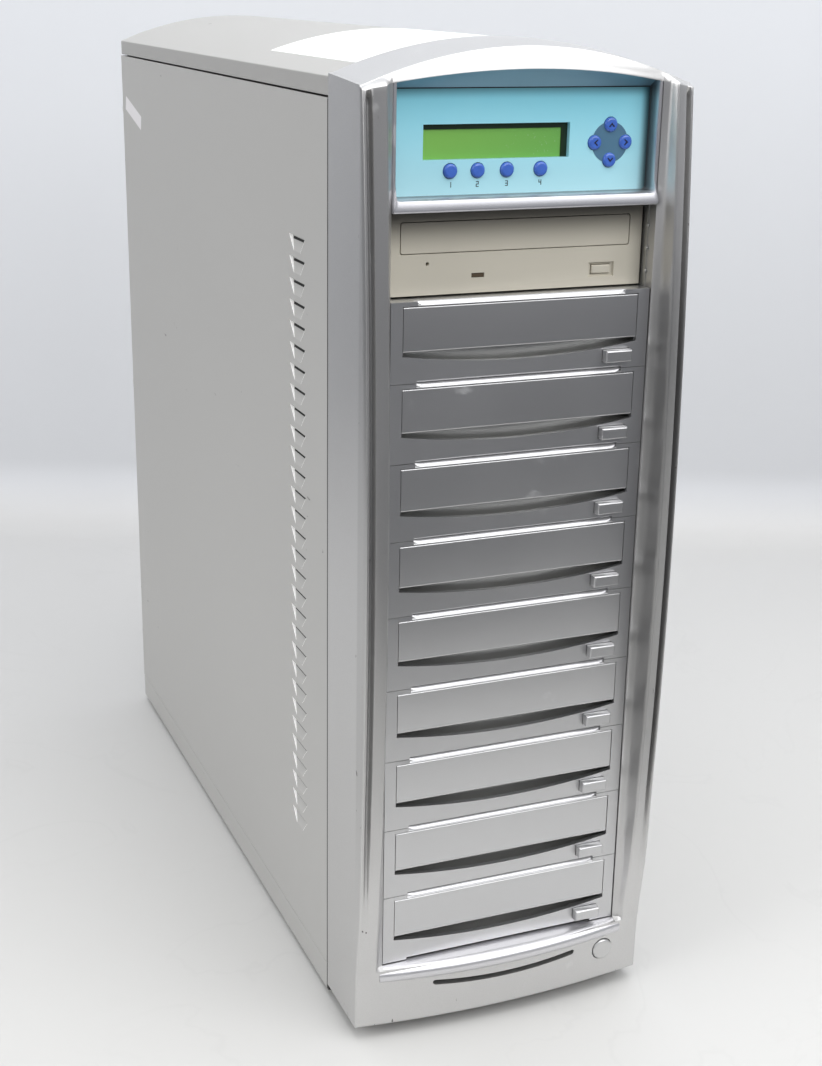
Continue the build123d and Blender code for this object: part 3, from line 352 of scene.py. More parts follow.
# Painted reflection: the window head's silver is coloured the blue of the film it mirrors.
head_painted_reflection = plain_finish("window_head_painted_reflection", (0.20, 0.36, 0.46), 0.34, 900, 0.00002, 0.55)
smoked_lens = plain_finish("smoked_lens", (0.10, 0.075, 0.05), 0.12, 500, 0.00001, 0.0, 0.1)
circuit_green = plain_finish("circuit_board_mask", (0.02, 0.16, 0.06), 0.35, 260, 0.00008, 0.0, 0.3)
label_paper = plain_finish("label_paper", (0.86, 0.86, 0.85), 0.5, 700, 0.00004, 0.0, 0.03)
# Dark plates that paint the shade in seams, gaps and slots.
painted_shadow_plate = plain_finish("seam_shadow", (0.02, 0.02, 0.02), 0.8, 500, 0.00002, 0.0, 0.1)


def reader_finish():
    """Aged beige plastic with a painted shadow under the window frame, where the reader stands back, and darker
    towards its right end.
    """
    finish = Finish("reader_plastic")
    x, y, z = finish.axes()
    clouds, top = finish.noise(30, 3.0), box("reader_bezel")[1][2]
    base = finish.blend(clouds, shade(BEIGE, 0.97), shade(BEIGE, 1.03))
    # Painted shadow along the top, under the window frame.
    base = finish.blend(z.above(top - SHADOW_HIGH / 2, SHADOW_HIGH), base, shade(BEIGE, 0.26))
    # Darker towards the right end.
    base = finish.blend(x.above(0.069, 0.012) * 0.5, base, shade(BEIGE, 0.4))
    finish.set(Base_Color=base, Roughness=0.42 + clouds * 0.1)
    finish.bumps(finish.noise(1300, 2.0), 0.00003, 0.4)
    return finish.material


reader_plastic = reader_finish()
print("plain finishes ready")

# %% [markdown]
# ## Panel film, display and keys
# The control panel is a printed polyester film: sky blue, deeper towards the top, with painted shade in the corner
# under the hood and beside the right pillar. The display behind its window is a yellow-green liquid crystal with
# dust towards its right end. The keys are tinted blue domes.

# %% Panel finishes
SKY, DEEP_SKY = (0.52, 0.87, 0.99), (0.22, 0.77, 0.96)
FILM_RIGHT, FILM_UPPER = 0.0695, 0.527
panel_low, panel_high = box("control_overlay")


def film_finish():
    """Glossy film, SKY to DEEP_SKY with height, with painted shade along its right and top edges."""
    finish = Finish("panel_film", Roughness=0.16, Specular_IOR_Level=0.5, Coat_Weight=0.3, Coat_Roughness=0.08)
    x, y, z = finish.axes()
    up = (z - panel_low[2]) * (1 / (panel_high[2] - panel_low[2]))
    base = finish.blend(up, shade(SKY, 1.04), DEEP_SKY)
    base = finish.blend(finish.noise(60, 3.0) * 0.12, base, shade(SKY, 1.1))
    # Painted shade: the hood and the right pillar keep light off the film's right and top edges.
    base = finish.blend(x.above(FILM_RIGHT, 0.006) * 0.93, base, (0.01, 0.025, 0.03))
    base = finish.blend(z.above(FILM_UPPER, 0.007) * 0.6, base, (0.02, 0.06, 0.08))
    finish.set(Base_Color=base)
    finish.bumps(finish.noise(14, 1.0), 0.0006, 0.12)
    return finish.material


def display_finish():
    """Liquid crystal whose green deepens from left to right."""
    finish = Finish("liquid_crystal", Roughness=0.14, Coat_Weight=0.6, Coat_Roughness=0.05)
    x, y, z = finish.axes()
    low, high = box("lcd_module")
    across = (x - low[0]) * (1 / (high[0] - low[0]))
    glow = finish.blend(across, (0.26, 0.58, 0.11), (0.18, 0.48, 0.10))
    dust = finish.noise(900, 2.0).above(0.7, 0.1) * across.above(0.6, 0.3)
    finish.set(Base_Color=finish.blend(dust * 0.4, glow, (0.5, 0.6, 0.4)))
    finish.bumps(finish.noise(2200, 1.0), 0.00001, 0.3)
    return finish.material


def key_finish():
    """Clear blue plastic under a hard coat."""
    finish = Finish("tinted_key", Roughness=0.18, Coat_Weight=0.6, Coat_Roughness=0.08)
    tone = finish.noise(260, 2.0)
    finish.set(Base_Color=finish.blend(tone, (0.045, 0.13, 0.56), (0.08, 0.20, 0.72)))
    return finish.material


panel_film, liquid_crystal, tinted_key = film_finish(), display_finish(), key_finish()
key_print = plain_finish("key_print", (0.015, 0.02, 0.06), 0.3, 900, 0.00001)
disc_grey = plain_finish("arrow_field", (0.10, 0.22, 0.33), 0.2, 700, 0.00001)
panel_ink = plain_finish("panel_ink", (0.01, 0.012, 0.02), 0.3, 700, 0.00001)
display_frame_and_shade = plain_finish("display_frame_and_shade", (0.012, 0.03, 0.012), 0.25, 700, 0.00001)
print("panel finishes ready")

# %% [markdown]
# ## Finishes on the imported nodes
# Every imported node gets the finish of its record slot. Those that are modelled again below are hidden later, and
# the others keep their exact shape.

# %% Dress the nodes
slot_finish = {
    "silver_moulding": silver_moulding, "drive_silver": drive_silver, "case_paint": case_paint,
    "plated_steel": plated_steel, "screw_metal": screw_metal, "foot_rubber": foot_rubber,
    "black_plastic": black_plastic, "beige_plastic": beige_plastic, "smoked_lens": smoked_lens,
    "blue_film": panel_film, "display_glass": liquid_crystal, "circuit_board": circuit_green,
    "key_blue": tinted_key,
}
node_slot = {part["node"]: part["material_slot"] for part in frame["record"]["subparts"]}
node_body = {node: body for body, members in frame["record"]["behaviour"]["bodies"].items() for node in members}


def dress(piece, material):
    """Give a piece one material all over."""
    piece.data.materials.clear()
    piece.data.materials.append(material)


for name, node in nodes.items():
    dress(node, slot_finish[node_slot[name]])
print("finishes given to", len(nodes), "nodes")

# %% [markdown]
# ## Rounded edges
# A moulded or pressed edge is never sharp: it catches a thin line of light. The construction has sharp edges, so
# a visible node is copied, its loose triangles are merged, its flat areas are joined up again, and a Bevel
# modifier rounds every edge sharper than a limit. The copy then stands for the node.

# %% Softened copies
SMOOTH_BELOW, BEVEL_FROM, FLAT_WITHIN = 32.0, 28.0, 0.6
BEVEL_STEPS = 2
MERGE_WITHIN = 2e-6


def finish_mesh(mesh):
    """Smooth shading with a crease where faces meet at more than SMOOTH_BELOW degrees."""
    mesh.polygons.foreach_set("use_smooth", np.ones(len(mesh.polygons), bool))
    mesh.set_sharp_from_angle(angle=radians(SMOOTH_BELOW))
    mesh.update()


def add_piece(name, mesh, body, material, slot, *replaced):
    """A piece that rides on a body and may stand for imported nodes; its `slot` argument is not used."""
    piece = bpy.data.objects.new(name, mesh)
    bpy.context.scene.collection.objects.link(piece)
    dress(piece, material)
    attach(piece, body)
    if replaced:
        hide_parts(*replaced)
    return piece


def round_edges(piece, width):
    """A Bevel modifier on every edge sharper than BEVEL_FROM degrees."""
    bevel = piece.modifiers.new("edges", "BEVEL")
    bevel.width, bevel.segments = width, BEVEL_STEPS
    bevel.limit_method, bevel.angle_limit = "ANGLE", radians(BEVEL_FROM)
    bevel.harden_normals = True


def softened(node, width, material=None):
    """A copy of a node whose sharp edges are rounded by `width`."""
    work = bmesh.new()
    work.from_mesh(nodes[node].data)
    bmesh.ops.remove_doubles(work, verts=work.verts, dist=MERGE_WITHIN)
    bmesh.ops.dissolve_limit(work, angle_limit=radians(FLAT_WITHIN), verts=work.verts, edges=work.edges)
    mesh = bpy.data.meshes.new(f"{node}_soft")
    work.to_mesh(mesh)
    work.free()
    finish_mesh(mesh)
    slot = node_slot[node]
    piece = add_piece(f"{node}_soft", mesh, node_body[node], material or slot_finish[slot], slot, node)
    round_edges(piece, width)


softened("writer_bezels", 0.35 * MM)
softened("top_cover", 0.8 * MM, cover_paint_shaded)
for name in ("base_pan", "side_panel_left", "side_panel_right"):
    softened(name, 0.3 * MM)
for name in ("reader_bezel", "reader_tray"):
    softened(name, 0.3 * MM, reader_plastic)
softened("reader_eject_button", 0.25 * MM)
softened("power_button", 0.3 * MM, button_silver)
for number in range(1, WRITERS + 1):
    softened(f"door_{number}", 0.5 * MM)
    softened(f"eject_button_{number}", 0.4 * MM)
print("softened copies made")

# %% [markdown]
# ## Meshes from grids
# The moulded shapes below are computed, not drawn: numpy fills a grid of points from a formula, `quads` joins
# neighbours to faces, and `mesh_from` merges the seams and turns every normal outwards. All of it is written in
# millimetres and scaled once, at the end.

# %% Grid tools
def smooth(value, low, high):
    """A step from 0 to 1 between low and high, without corners: 3t squared minus 2t cubed."""
    part = np.clip((value - low) / (high - low), 0, 1)
    return part * part * (3 - 2 * part)


def quads(index, keep=None):
    """Four-cornered faces between neighbouring rows and columns of an index grid."""
    corners = np.stack([index[:-1, :-1], index[:-1, 1:], index[1:, 1:], index[1:, :-1]], -1)
    return corners[keep] if keep is not None else corners.reshape(-1, 4)


def mesh_from(name, points, faces):
    """A merged mesh with outward normals, from points in millimetres."""
    mesh = bpy.data.meshes.new(name)
    mesh.from_pydata((np.asarray(points) * MM).tolist(), [], faces)
    work = bmesh.new()
    work.from_mesh(mesh)
    bmesh.ops.remove_doubles(work, verts=work.verts, dist=MERGE_WITHIN)
    bmesh.ops.dissolve_degenerate(work, dist=1e-7, edges=work.edges)
    bmesh.ops.recalc_face_normals(work, faces=work.faces)
    work.to_mesh(mesh)
    work.free()
    finish_mesh(mesh)
    return mesh


def tube(rings):
    """A closed skin over a row of equal closed sections, with both ends capped."""
    count, around = rings.shape[:2]
    index = np.arange(count * around).reshape(count, around)
    faces = quads(np.hstack([index, index[:, :1]])).tolist() + [index[0].tolist(), index[-1].tolist()]
    return rings.reshape(-1, 3), faces


print("grid tools ready")

# %% [markdown]
# ## Front moulding
# One height field carries pillars, hood and chin: `reach` says how far each point stands ahead of the drive
# faces. From the outer side inwards a pillar has a ridge, a groove, a rib and a flank that falls back to the
# drives. Seen from the side it bows: the reach follows a parabola that peaks at mid height. Towards the floor
# the pillar blends into the chin. Above the window a band slopes back to the hood, whose top rises to the cover.

# %% The height field of the moulding
FACE, JOIN = face_y / MM, join_y / MM
SIDE, BAY = 91.0, 74.4
LOW, SILL_TOP = 8.5, 45.4
BOW_ENDS, BOW_RISE, BOW_MIDDLE, BOW_HALF = 2.5, 12.5, 280.75, 272.25
CHIN_REACH, CHIN_TILT, CHIN_BULGE = 2.0, 0.8, 7.0
WINDOW_CREST, WINDOW_DROP, WINDOW_HALF = 539.2, 6.7, 74.0
HOOD_CREST, HOOD_DROP, HOOD_EDGE, HOOD_LIFT = 549.49, 18.7, 1.0, 3.5
LIP_ENDS, LIP_BULGE = 0.4, 6.6
GROOVE_DEEP, RIB_REACH, FLANK_FOOT = 3.2, 3.3, 0.6
FLANK_AT, FLANK_RISE = [BAY, 77.4, 78.6, 79.4, 80.4], [0.0, 0.34, 0.72, 0.93, 1.0]


def bow(z):
    """Reach of a plain pillar: a parabola over its height, with its peak in the middle."""
    return BOW_ENDS + BOW_RISE * (1 - ((z - BOW_MIDDLE) / BOW_HALF) ** 2)


def chin(x, z):
    """Reach of the chin: it leans out a little with height and bulges as a parabola across."""
    lean = CHIN_TILT * np.clip((z - LOW) / (SILL_TOP - LOW), 0, 1)
    return CHIN_REACH + lean + CHIN_BULGE * (1 - (x / SIDE) ** 2)


def window_top(x):
    """Height of the window's arch, a parabola across."""
    return WINDOW_CREST - WINDOW_DROP * (x / WINDOW_HALF) ** 2


def hood_front(x):
    """Height of the hood's front edge, a parabola that drops as far as the cover does."""
    return HOOD_CREST - HOOD_DROP * (x / SIDE) ** 2


def lip(x):
    """Reach of the band's lower edge: it bulges in plan like the chin."""
    return LIP_ENDS + LIP_BULGE * (1 - (x / BAY) ** 2)


def pillar(x, z):
    """Reach of a pillar: bow, minus the groove, plus the rib, all faded in above the chin.

    Towards the bay the flank falls back to the drives along a polyline of shares.
    """
    inward = SIDE - abs(x)
    blend = smooth(z, 30, 90)
    level = chin(x, z) * (1 - blend) + bow(z) * blend - 1.4 * smooth(z, 60, 150)
    fade = 1 - smooth(z, window_top(x) - 5, window_top(x))
    deep = GROOVE_DEEP * smooth(z, 70, 150) * (1 + 0.3 * smooth(z, 430, 490)) * fade
    groove = smooth(inward, 1.3, 3.4) * (1 - smooth(inward, 4.1, 4.9))
    rib = RIB_REACH * smooth(z, 60, 150) * np.clip((inward - 4.2) / 6.4, 0, 1) ** 0.8
    top = level - deep * groove + rib
    return FLANK_FOOT + (top - FLANK_FOOT) * np.interp(abs(x), FLANK_AT, FLANK_RISE)


print("reach at mid height", round(float(pillar(SIDE - 9.8, 280.0)), 1), "mm")

# %% [markdown]
# The chin has two openings: a thin slot that sags like a smile, with round ends, and the round hole of the power
# button.

# %% Openings in the chin
BUTTON_X, BUTTON_Z, BUTTON_R = 65.5, 28.5, 6.9
SLOT_HALF, SLOT_ROUND, SLOT_ENDS, SLOT_SAG = 45.5, 1.6, 30.5, 3.0


def slot_line(x):
    """Height of the slot's middle line, a parabola that sags between its two ends."""
    return SLOT_ENDS - SLOT_SAG * np.clip(1 - (x / SLOT_HALF) ** 2, 0, 1)


def slot_height(x):
    """Height of the opening: constant, with half circles at both ends."""
    over = np.clip((abs(x) - SLOT_HALF + SLOT_ROUND) / SLOT_ROUND, 0, 1)
    return 2 * SLOT_ROUND * np.sqrt(1 - over**2)


print("slot", 2 * SLOT_HALF, "mm wide")

# %% [markdown]
# The grid has dense columns where the profile is sharp. Quads inside the bay, the slot and the power button's
# hole are left out, and every edge left open gets a wall to an inner skin. Round the outside, rings of points
# carry the skin over a rounded edge, back to the case and forward again inside.

# %% Front moulding mesh
RIM, SKIN = 1.2, 3.0
SHALLOW, DEEP, WINDOW_FOOT = 6.2, 9.0, 470
RAMP = np.array([0.05, 0.12, 0.22, 0.34, 0.46, 0.58, 0.70, 0.81, 0.91, 1.0])


def moulding_columns():
    """The columns' places: one half, dense where the profile is sharp, and its mirror image."""
    half = np.concatenate([
        np.arange(0, 43, 4.2), SLOT_HALF - SLOT_ROUND + SLOT_ROUND * np.sin(np.radians([0, 25, 45, 62, 76, 90])),
        np.arange(47, 74, 1.25), [BAY, 74.8, 75.8, 76.6, 77.4, 78.0, 78.6, 79.0, 79.4, 79.9, 80.4],
        np.arange(81.0, 85.8, 0.6), np.arange(86.0, 89.9, 0.29),
    ])
    return np.concatenate([-half[:0:-1], half])


def front_moulding():
    """A skin at FACE minus reach over X and Z, an inner skin behind it, and rings round the outside.

    The band above the window runs from the lip back to the hood's edge with its share to the power of 1.6.
    """
    x = moulding_columns()
    low = slot_line(x) + SLOT_ROUND - slot_height(x) / 2
    high = low + slot_height(x)
    lower = [LOW + RIM + (low - LOW - RIM) * t for t in np.linspace(0, 1, 17)]
    upper = [high + (SILL_TOP - 0.9 - high) * t for t in np.linspace(0, 1, 10)]
    start = SILL_TOP + 0.5
    steps = np.concatenate([np.linspace(0, 0.95, 60), np.linspace(0.955, 1, 12)])
    middle = [start + (window_top(x) - start) * t for t in steps]
    top = [window_top(x) + (hood_front(x) - window_top(x)) * t for t in RAMP]
    z = np.array(lower + upper + middle + top)
    x = np.tile(x, (len(z), 1))
    chin_rows, lip_row = len(lower) + len(upper), len(z) - len(top) - 1

    centre_x = (x[:-1, :-1] + x[:-1, 1:]) / 2
    centre_z = (z[:-1, :-1] + z[1:, 1:]) / 2
    keep = np.ones(centre_x.shape, bool)
    keep[len(lower) - 1] = abs(centre_x[0]) > SLOT_HALF
    keep[chin_rows - 1:lip_row] = abs(centre_x[0]) > BAY
    keep &= np.hypot(centre_x - BUTTON_X, centre_z - BUTTON_Z) > BUTTON_R

    padded = np.pad(keep, 1)
    around = np.stack([padded[:-1, :-1], padded[:-1, 1:], padded[1:, 1:], padded[1:, :-1]])
    off_x, off_z = x - BUTTON_X, z - BUTTON_Z
    distance = np.hypot(off_x, off_z)
    rim = (distance < BUTTON_R + 2) & around.any(0) & ~around.all(0)
    scale = np.where(rim, BUTTON_R / np.maximum(distance, 1), 1)
    x, z = BUTTON_X + off_x * scale, BUTTON_Z + off_z * scale

    reach = np.where(np.arange(len(z))[:, None] < chin_rows, chin(x, z), pillar(x, z))
    base = np.where(abs(x[lip_row]) <= BAY, lip(x[lip_row]), pillar(x[lip_row], z[lip_row]))
    reach[lip_row] = base
    for row, t in enumerate(RAMP, lip_row + 1):
        filled = base + (np.maximum(base, lip(np.minimum(abs(x[row]), BAY))) - base) * smooth(t, 0, 0.35)
        reach[row] = filled - (filled + HOOD_EDGE) * t**1.6

    front = np.stack([x, FACE - reach, z], -1)
    inner_z = np.clip(z, LOW + SKIN, hood_front(x) - SKIN)
    inner_y = FACE + np.where(z < WINDOW_FOOT, SHALLOW, DEEP)
    inner = np.stack([np.clip(x, SKIN - SIDE, SIDE - SKIN), inner_y, inner_z], -1)
    index = np.arange(z.size).reshape(z.shape)
    behind = index + z.size
    faces = quads(index, keep).tolist() + quads(behind, keep).tolist()
    across = padded[:-1, 1:-1] != padded[1:, 1:-1]
    along = padded[1:-1, :-1] != padded[1:-1, 1:]
    across[[0, -1]] = along[:, [0, -1]] = False
    for open_edges, down, right in ((across, 0, 1), (along, 1, 0)):
        row, column = np.nonzero(open_edges)
        here, there = (row, column), (row + down, column + right)
        faces += np.stack([index[here], index[there], behind[there], behind[here]], -1).tolist()

    loop = np.concatenate([index[0], index[1:, -1], index[-1, -2::-1], index[-2:0:-1, 0]])
    edge = front.reshape(-1, 3)[loop]
    out_x = np.isclose(abs(edge[:, 0]), abs(edge[:, 0]).max()) * np.sign(edge[:, 0])
    on_top, on_foot = np.isin(loop, index[-1]), np.isin(loop, index[0])
    out_z = on_top * 0.4 - on_foot * 1.0
    rings = []
    for angle in np.radians([30, 60, 90]):
        back_y = np.full(len(loop), RIM * (1 - np.cos(angle)))
        rings.append(edge + np.stack([out_x * RIM * np.sin(angle), back_y, out_z * RIM * np.sin(angle)], -1))
    last = rings[-1]
    lifted = smooth(last[:, 2], 500, 530) * (HOOD_LIFT - 0.4 * RIM * on_top)
    for part in (0.08, 0.2, 0.35, 0.55, 0.75, 1.0):
        ring = last.copy()
        ring[:, 1] += part * (JOIN - last[:, 1])
        ring[:, 2] += lifted * (1 - (1 - part) ** (2.5 - 1.4 * (ring[:, 0] / SIDE) ** 2))
        rings.append(ring)
    turned = rings[-1].copy()
    turned[:, 0] = np.clip(turned[:, 0], SKIN - SIDE, SIDE - SKIN)
    turned[:, 2] = np.clip(turned[:, 2], LOW + SKIN, hood_front(turned[:, 0]) + HOOD_LIFT - SKIN)
    rings.append(turned)
    first = 2 * z.size
    chain = [loop] + [first + k * len(loop) + np.arange(len(loop)) for k in range(len(rings))] + [loop + z.size]
    chain = np.array(chain)
    faces += quads(np.hstack([chain, chain[:, :1]])).tolist()
    points = np.concatenate([front.reshape(-1, 3), inner.reshape(-1, 3), *rings])
    return mesh_from("front_moulding", points, faces)


add_piece("front_moulding", front_moulding(), "case", silver_moulding, "silver_moulding", "front_bezel")
print("front moulding:", len(bpy.data.meshes["front_moulding"].polygons), "faces")

# %% [markdown]
# The sill under the lowest drive is a glossier bar with a large rounding; its front bulges in plan like the
# chin. The window's frame is one profile carried down the left side, along the bottom and up the right side:
# an inner wall, a thin rounded lip, a narrow face and an outer edge.

# %% Sill bar and window frame
SILL_R, UNDER_R = 5.5, 4.0
SILL_HALF, SILL_REACH, SILL_BULGE, BULGE_HALF = 77.4, 5.2, 7.5, 78.5
FRAME_IN, FRAME_OUT, FRAME_FOOT_IN, FRAME_FOOT_OUT, FRAME_TOP = 72.0, BAY, 477.5, 470.5, 533.2


def sill_bar():
    """The bar's section is a quarter circle on top and a smaller one below, carried along a bulging line."""
    x = np.linspace(-SILL_HALF, SILL_HALF, 81)
    reach = SILL_REACH + SILL_BULGE * (1 - (x / BULGE_HALF) ** 2)
    turn, under = np.radians(np.linspace(0, 90, 24)), np.radians(np.linspace(8, 85, 12))
    back = np.concatenate([SILL_R - SILL_R * np.sin(turn), UNDER_R - UNDER_R * np.cos(under)])
    height = np.concatenate([SILL_R * np.cos(turn), -UNDER_R * np.sin(under)]) + SILL_TOP - SILL_R
    y = FACE - reach[:, None] + back[None, :]
    ends = np.full((len(x), 1), FACE + 2.0)
    y = np.hstack([ends, y, ends])
    height = np.concatenate([[SILL_TOP], height, [height[-1] - 0.1]])
    rings = np.stack([np.broadcast_to(x[:, None], y.shape), y, np.broadcast_to(height, y.shape)], -1)
    return mesh_from("sill_bar", *tube(rings))


def window_path(half, low, top, radius):
    """Down the left side, round two corners and up the right side, as points in X and Z."""
    turn = np.radians(np.linspace(0, 90, 9))
    left = [(-half, z) for z in np.linspace(top, low + radius, 14)[:-1]]
    corner = [(-half + radius - radius * np.cos(a), low + radius - radius * np.sin(a)) for a in turn]
    foot = [(x, low) for x in np.linspace(radius - half, 0, 8)[1:]]
    right = [(-x, z) for x, z in (left + corner + foot[:-1])[::-1]]
    return np.array(left + corner + foot + right)


def window_frame():
    """Eleven points from the inner path to the outer one; the section bulges more along the bottom."""
    inside = window_path(FRAME_IN, FRAME_FOOT_IN, FRAME_TOP, 2.2)
    outside = window_path(FRAME_OUT, FRAME_FOOT_OUT, FRAME_TOP, 0.8)
    part = np.array([0.0, 0.0, 0.05, 0.15, 0.3, 0.72, 0.86, 0.96, 1.0, 1.0, 0.5])
    upright = np.array([-9.2, -1.0, -0.3, 0.2, 0.4, 0.4, 0.2, -0.3, -1.0, -5.0, -9.2])
    sill = np.array([-9.2, -0.4, 0.9, 2.1, 2.5, 3.0, 3.0, 2.5, 1.3, -5.0, -9.2])
    foot = smooth(-inside[:, 1], -485, -479)[:, None]
    reach = upright + (sill - upright) * foot
    place = inside[:, None] + (outside - inside)[:, None] * part[:, None]
    return mesh_from("window_frame", *tube(np.stack([place[..., 0], FACE - reach, place[..., 1]], -1)))


add_piece("sill_bar", sill_bar(), "case", bright_silver, "silver_moulding")
add_piece("window_frame", window_frame(), "case", frame_silver, "silver_moulding")
print("sill bar and window frame made")

# %% [markdown]
# The film is straight at its top, while the hood is arched. Between them the moulding slopes back to the film and
# mirrors it, and its blue colour is a painted reflection of the film. A dark plate along the film's edge paints
# the shadow of a gap.

# %% Window head
FILM_TOP, FILM_Y = 529.8, panel_low[1] / MM


def window_head():
    """A sloping strip: straight along the film, arched along the hood, one closed section per column."""
    x = np.linspace(-71.8, 71.8, 49)
    top = window_top(x) + 0.8
    sections = []
    for part in (0.0, 0.35, 0.7, 1.0):
        y = FACE + 1.0 + (FILM_Y - 0.3 - FACE - 1.0) * part**0.8
        sections.append(np.stack([x, np.full_like(x, y), top + (FILM_TOP - top) * part], -1))
    for height in (np.full_like(x, FILM_TOP), top):
        sections.append(np.stack([x, np.full_like(x, FILM_Y + 0.1), height], -1))
    return mesh_from("window_head", *tube(np.stack(sections, 1)))


add_piece("window_head", window_head(), "case", head_painted_reflection, "silver_moulding")
print("window head made")

# %% [markdown]
# ## Panel details
# A grey disc joins the four arrow keys, each arrow key carries a chevron, and dark strips along the display's top
# and sides stand for its dark frame and for painted shade in its recess. The chevrons stay shallow, so that a
# pressed key doesn't push its own through the disc. Under the function keys stand the numerals 1 to 4, each built
# of the strokes of a seven-stroke figure.

# %% Slabs and bricks
def slab(outline, y_front, y_back):
    """Points and faces of a plate whose outline in X and Z is carried from front to back."""
    outline = np.asarray(outline, float)
    rings = [np.insert(outline, 1, y, axis=1) for y in (y_front, y_back)]
    return tube(np.array(rings))


def joined(parts):
    """Several closed skins as one list of points and one of faces."""
    points, faces = [], []
    for part_points, part_faces in parts:
        faces += [[corner + len(points) for corner in face] for face in part_faces]
        points += np.asarray(part_points).tolist()
    return points, faces


def brick(x0, x1, y0, y1, z0, z1):
    """A box between two corners."""
    return slab([(x0, z0), (x1, z0), (x1, z1), (x0, z1)], y0, y1)


print("slabs and bricks ready")

# %% Arrow field and chevrons
FIELD_X, FIELD_Z, FIELD_R = 50.0, 501.7, 10.4
turns = np.radians(np.arange(0, 360, 5))
field = np.stack([FIELD_X + FIELD_R * np.cos(turns), FIELD_Z + FIELD_R * np.sin(turns)], -1)
mesh = mesh_from("arrow_field", *slab(field, FILM_Y - 0.12, FILM_Y + 0.4))
add_piece("arrow_field", mesh, "case", disc_grey, "blue_film")

CHEVRON = np.array([(-1.7, -0.9), (-1.2, -1.3), (0, -0.1), (1.2, -1.3), (1.7, -0.9), (0, 1.1)])
for name, quarter in (("up", 0), ("left", 1), ("down", 2), ("right", 3)):
    low, high = box(f"arrow_key_{name}")
    centre = (low + high)[[0, 2]] / 2 / MM
    cosine, sine = (1, 0, -1, 0)[quarter], (0, 1, 0, -1)[quarter]
    turned = CHEVRON @ np.array([(cosine, sine), (-sine, cosine)]) + centre
    mesh = mesh_from(f"chevron_{name}", *slab(turned, low[1] / MM - 0.08, low[1] / MM + 0.2))
    add_piece(f"chevron_{name}", mesh, node_body[f"arrow_key_{name}"], key_print, "key_blue")
print("arrow field and chevrons made")

# %% Numerals and the film's dark edge
STROKES = {
    "top": (0, 1, 2, 2), "middle": (0, 1, 1, 1), "foot": (0, 1, 0, 0), "left_low": (0, 0, 0, 1),
    "left_high": (0, 0, 1, 2), "right_low": (1, 1, 0, 1), "right_high": (1, 1, 1, 2),
}
DIGITS = (
    "right_low right_high", "top right_high middle left_low foot",
    "top right_high middle right_low foot", "left_high middle right_high right_low",
)
DIGIT_Z, DIGIT_SIZE, STROKE = 481.4, 1.15, 0.2
bars = []
for number, strokes in enumerate(DIGITS, 1):
    low, high = box(f"function_key_{number}")
    left = (low[0] + high[0]) / 2 / MM - DIGIT_SIZE / 2
    for x0, x1, z0, z1 in (STROKES[name] for name in strokes.split()):
        across = (left + x0 * DIGIT_SIZE - STROKE, left + x1 * DIGIT_SIZE + STROKE)
        upward = (DIGIT_Z + z0 * DIGIT_SIZE - STROKE, DIGIT_Z + z1 * DIGIT_SIZE + STROKE)
        bars.append(brick(*across, FILM_Y - 0.05, FILM_Y + 0.1, *upward))
add_piece("key_numbers", mesh_from("key_numbers", *joined(bars)), "case", panel_ink, "blue_film")
# Painted shadow: a dark plate along the film's top edge stands for the shade in the gap.
gap = brick(-71.6, 71.6, FILM_Y - 0.25, FILM_Y + 0.1, FILM_TOP - 0.55, FILM_TOP + 0.02)
add_piece("film_gap", mesh_from("film_gap", *gap), "case", painted_shadow_plate, "blue_film")
print("numerals:", len(DIGITS))

# %% Display mask
# Dark strips at the display's top and sides: partly its dark frame, partly painted shade.
left, right, bottom, top = -54.3, 26.5, 494.9, 512.0
mask_y = box("lcd_module")[0][1] / MM
strips = {
    "top": (left, right, top - 2.6, top), "right": (right - 3.4, right, bottom, top - 2.6),
    "left": (left, left + 0.5, bottom, top - 2.6),
}
for name, (x0, x1, z0, z1) in strips.items():
    mesh = mesh_from(f"display_frame_and_shade_{name}", *brick(x0, x1, mask_y - 0.5, mask_y + 0.2, z0, z1))
    add_piece(f"display_frame_and_shade_{name}", mesh, "case", display_frame_and_shade, "display_glass")
print("display mask strips:", len(strips))

# %% [markdown]
# ## Louvres
# Each louvre is pressed inwards, deepest at its top, and its two end walls lean: they run in to a point at the
# bottom. The leaning walls get a painted highlight and a faint glow. A narrow slot is open near the top; a dark
# plate paints the shade in it. The imported panel has the pressed fields, and these pieces fill their corners,
# line the walls and darken the slots.

# %% Louvres
SHELL = case_high[0] / MM
LOUVRES, LOUVRE_PITCH, LOUVRE_TOP, LOUVRE_H, LOUVRE_DEEP = 30, 12.08, 446.5, 8.5, 2.2
LOUVRE_START, LOUVRE_END, LEAN = FACE + 84.0, FACE + 111.0, 8.0
SLOT_FROM, SLOT_TO, SLOT_SHORT = 1.2, 2.5, 3.2


def facet(drop):
    """How far a louvre's surface lies below the panel, at a drop below its top."""
    return LOUVRE_DEEP * (1 - drop / LOUVRE_H)


def louvre_corner(side, top, end, inward):
    """Four-sided filler between the panel's face and the louvre's leaning end wall."""
    face, deep = side * (SHELL - 0.01), side * (SHELL - LOUVRE_DEEP)
    foot = top - LOUVRE_H
    points = [(face, end, top), (face, end + inward * LEAN, foot), (face, end, foot), (deep, end, top)]
    return points, [[0, 1, 2], [0, 1, 3], [1, 2, 3], [0, 2, 3]]


def louvre_wall(side, top, end, inward):
    """A thin plate on the leaning wall, with a painted highlight and a faint glow."""
    face, deep = side * (SHELL - 0.02), side * (SHELL - LOUVRE_DEEP + 0.05)
    outer = np.array([(face, end, top), (face, end + inward * LEAN, top - LOUVRE_H), (deep, end, top)])
    shift = np.array([0, inward * 0.12, 0.12])
    return tube(np.stack([outer + shift, outer - shift]))


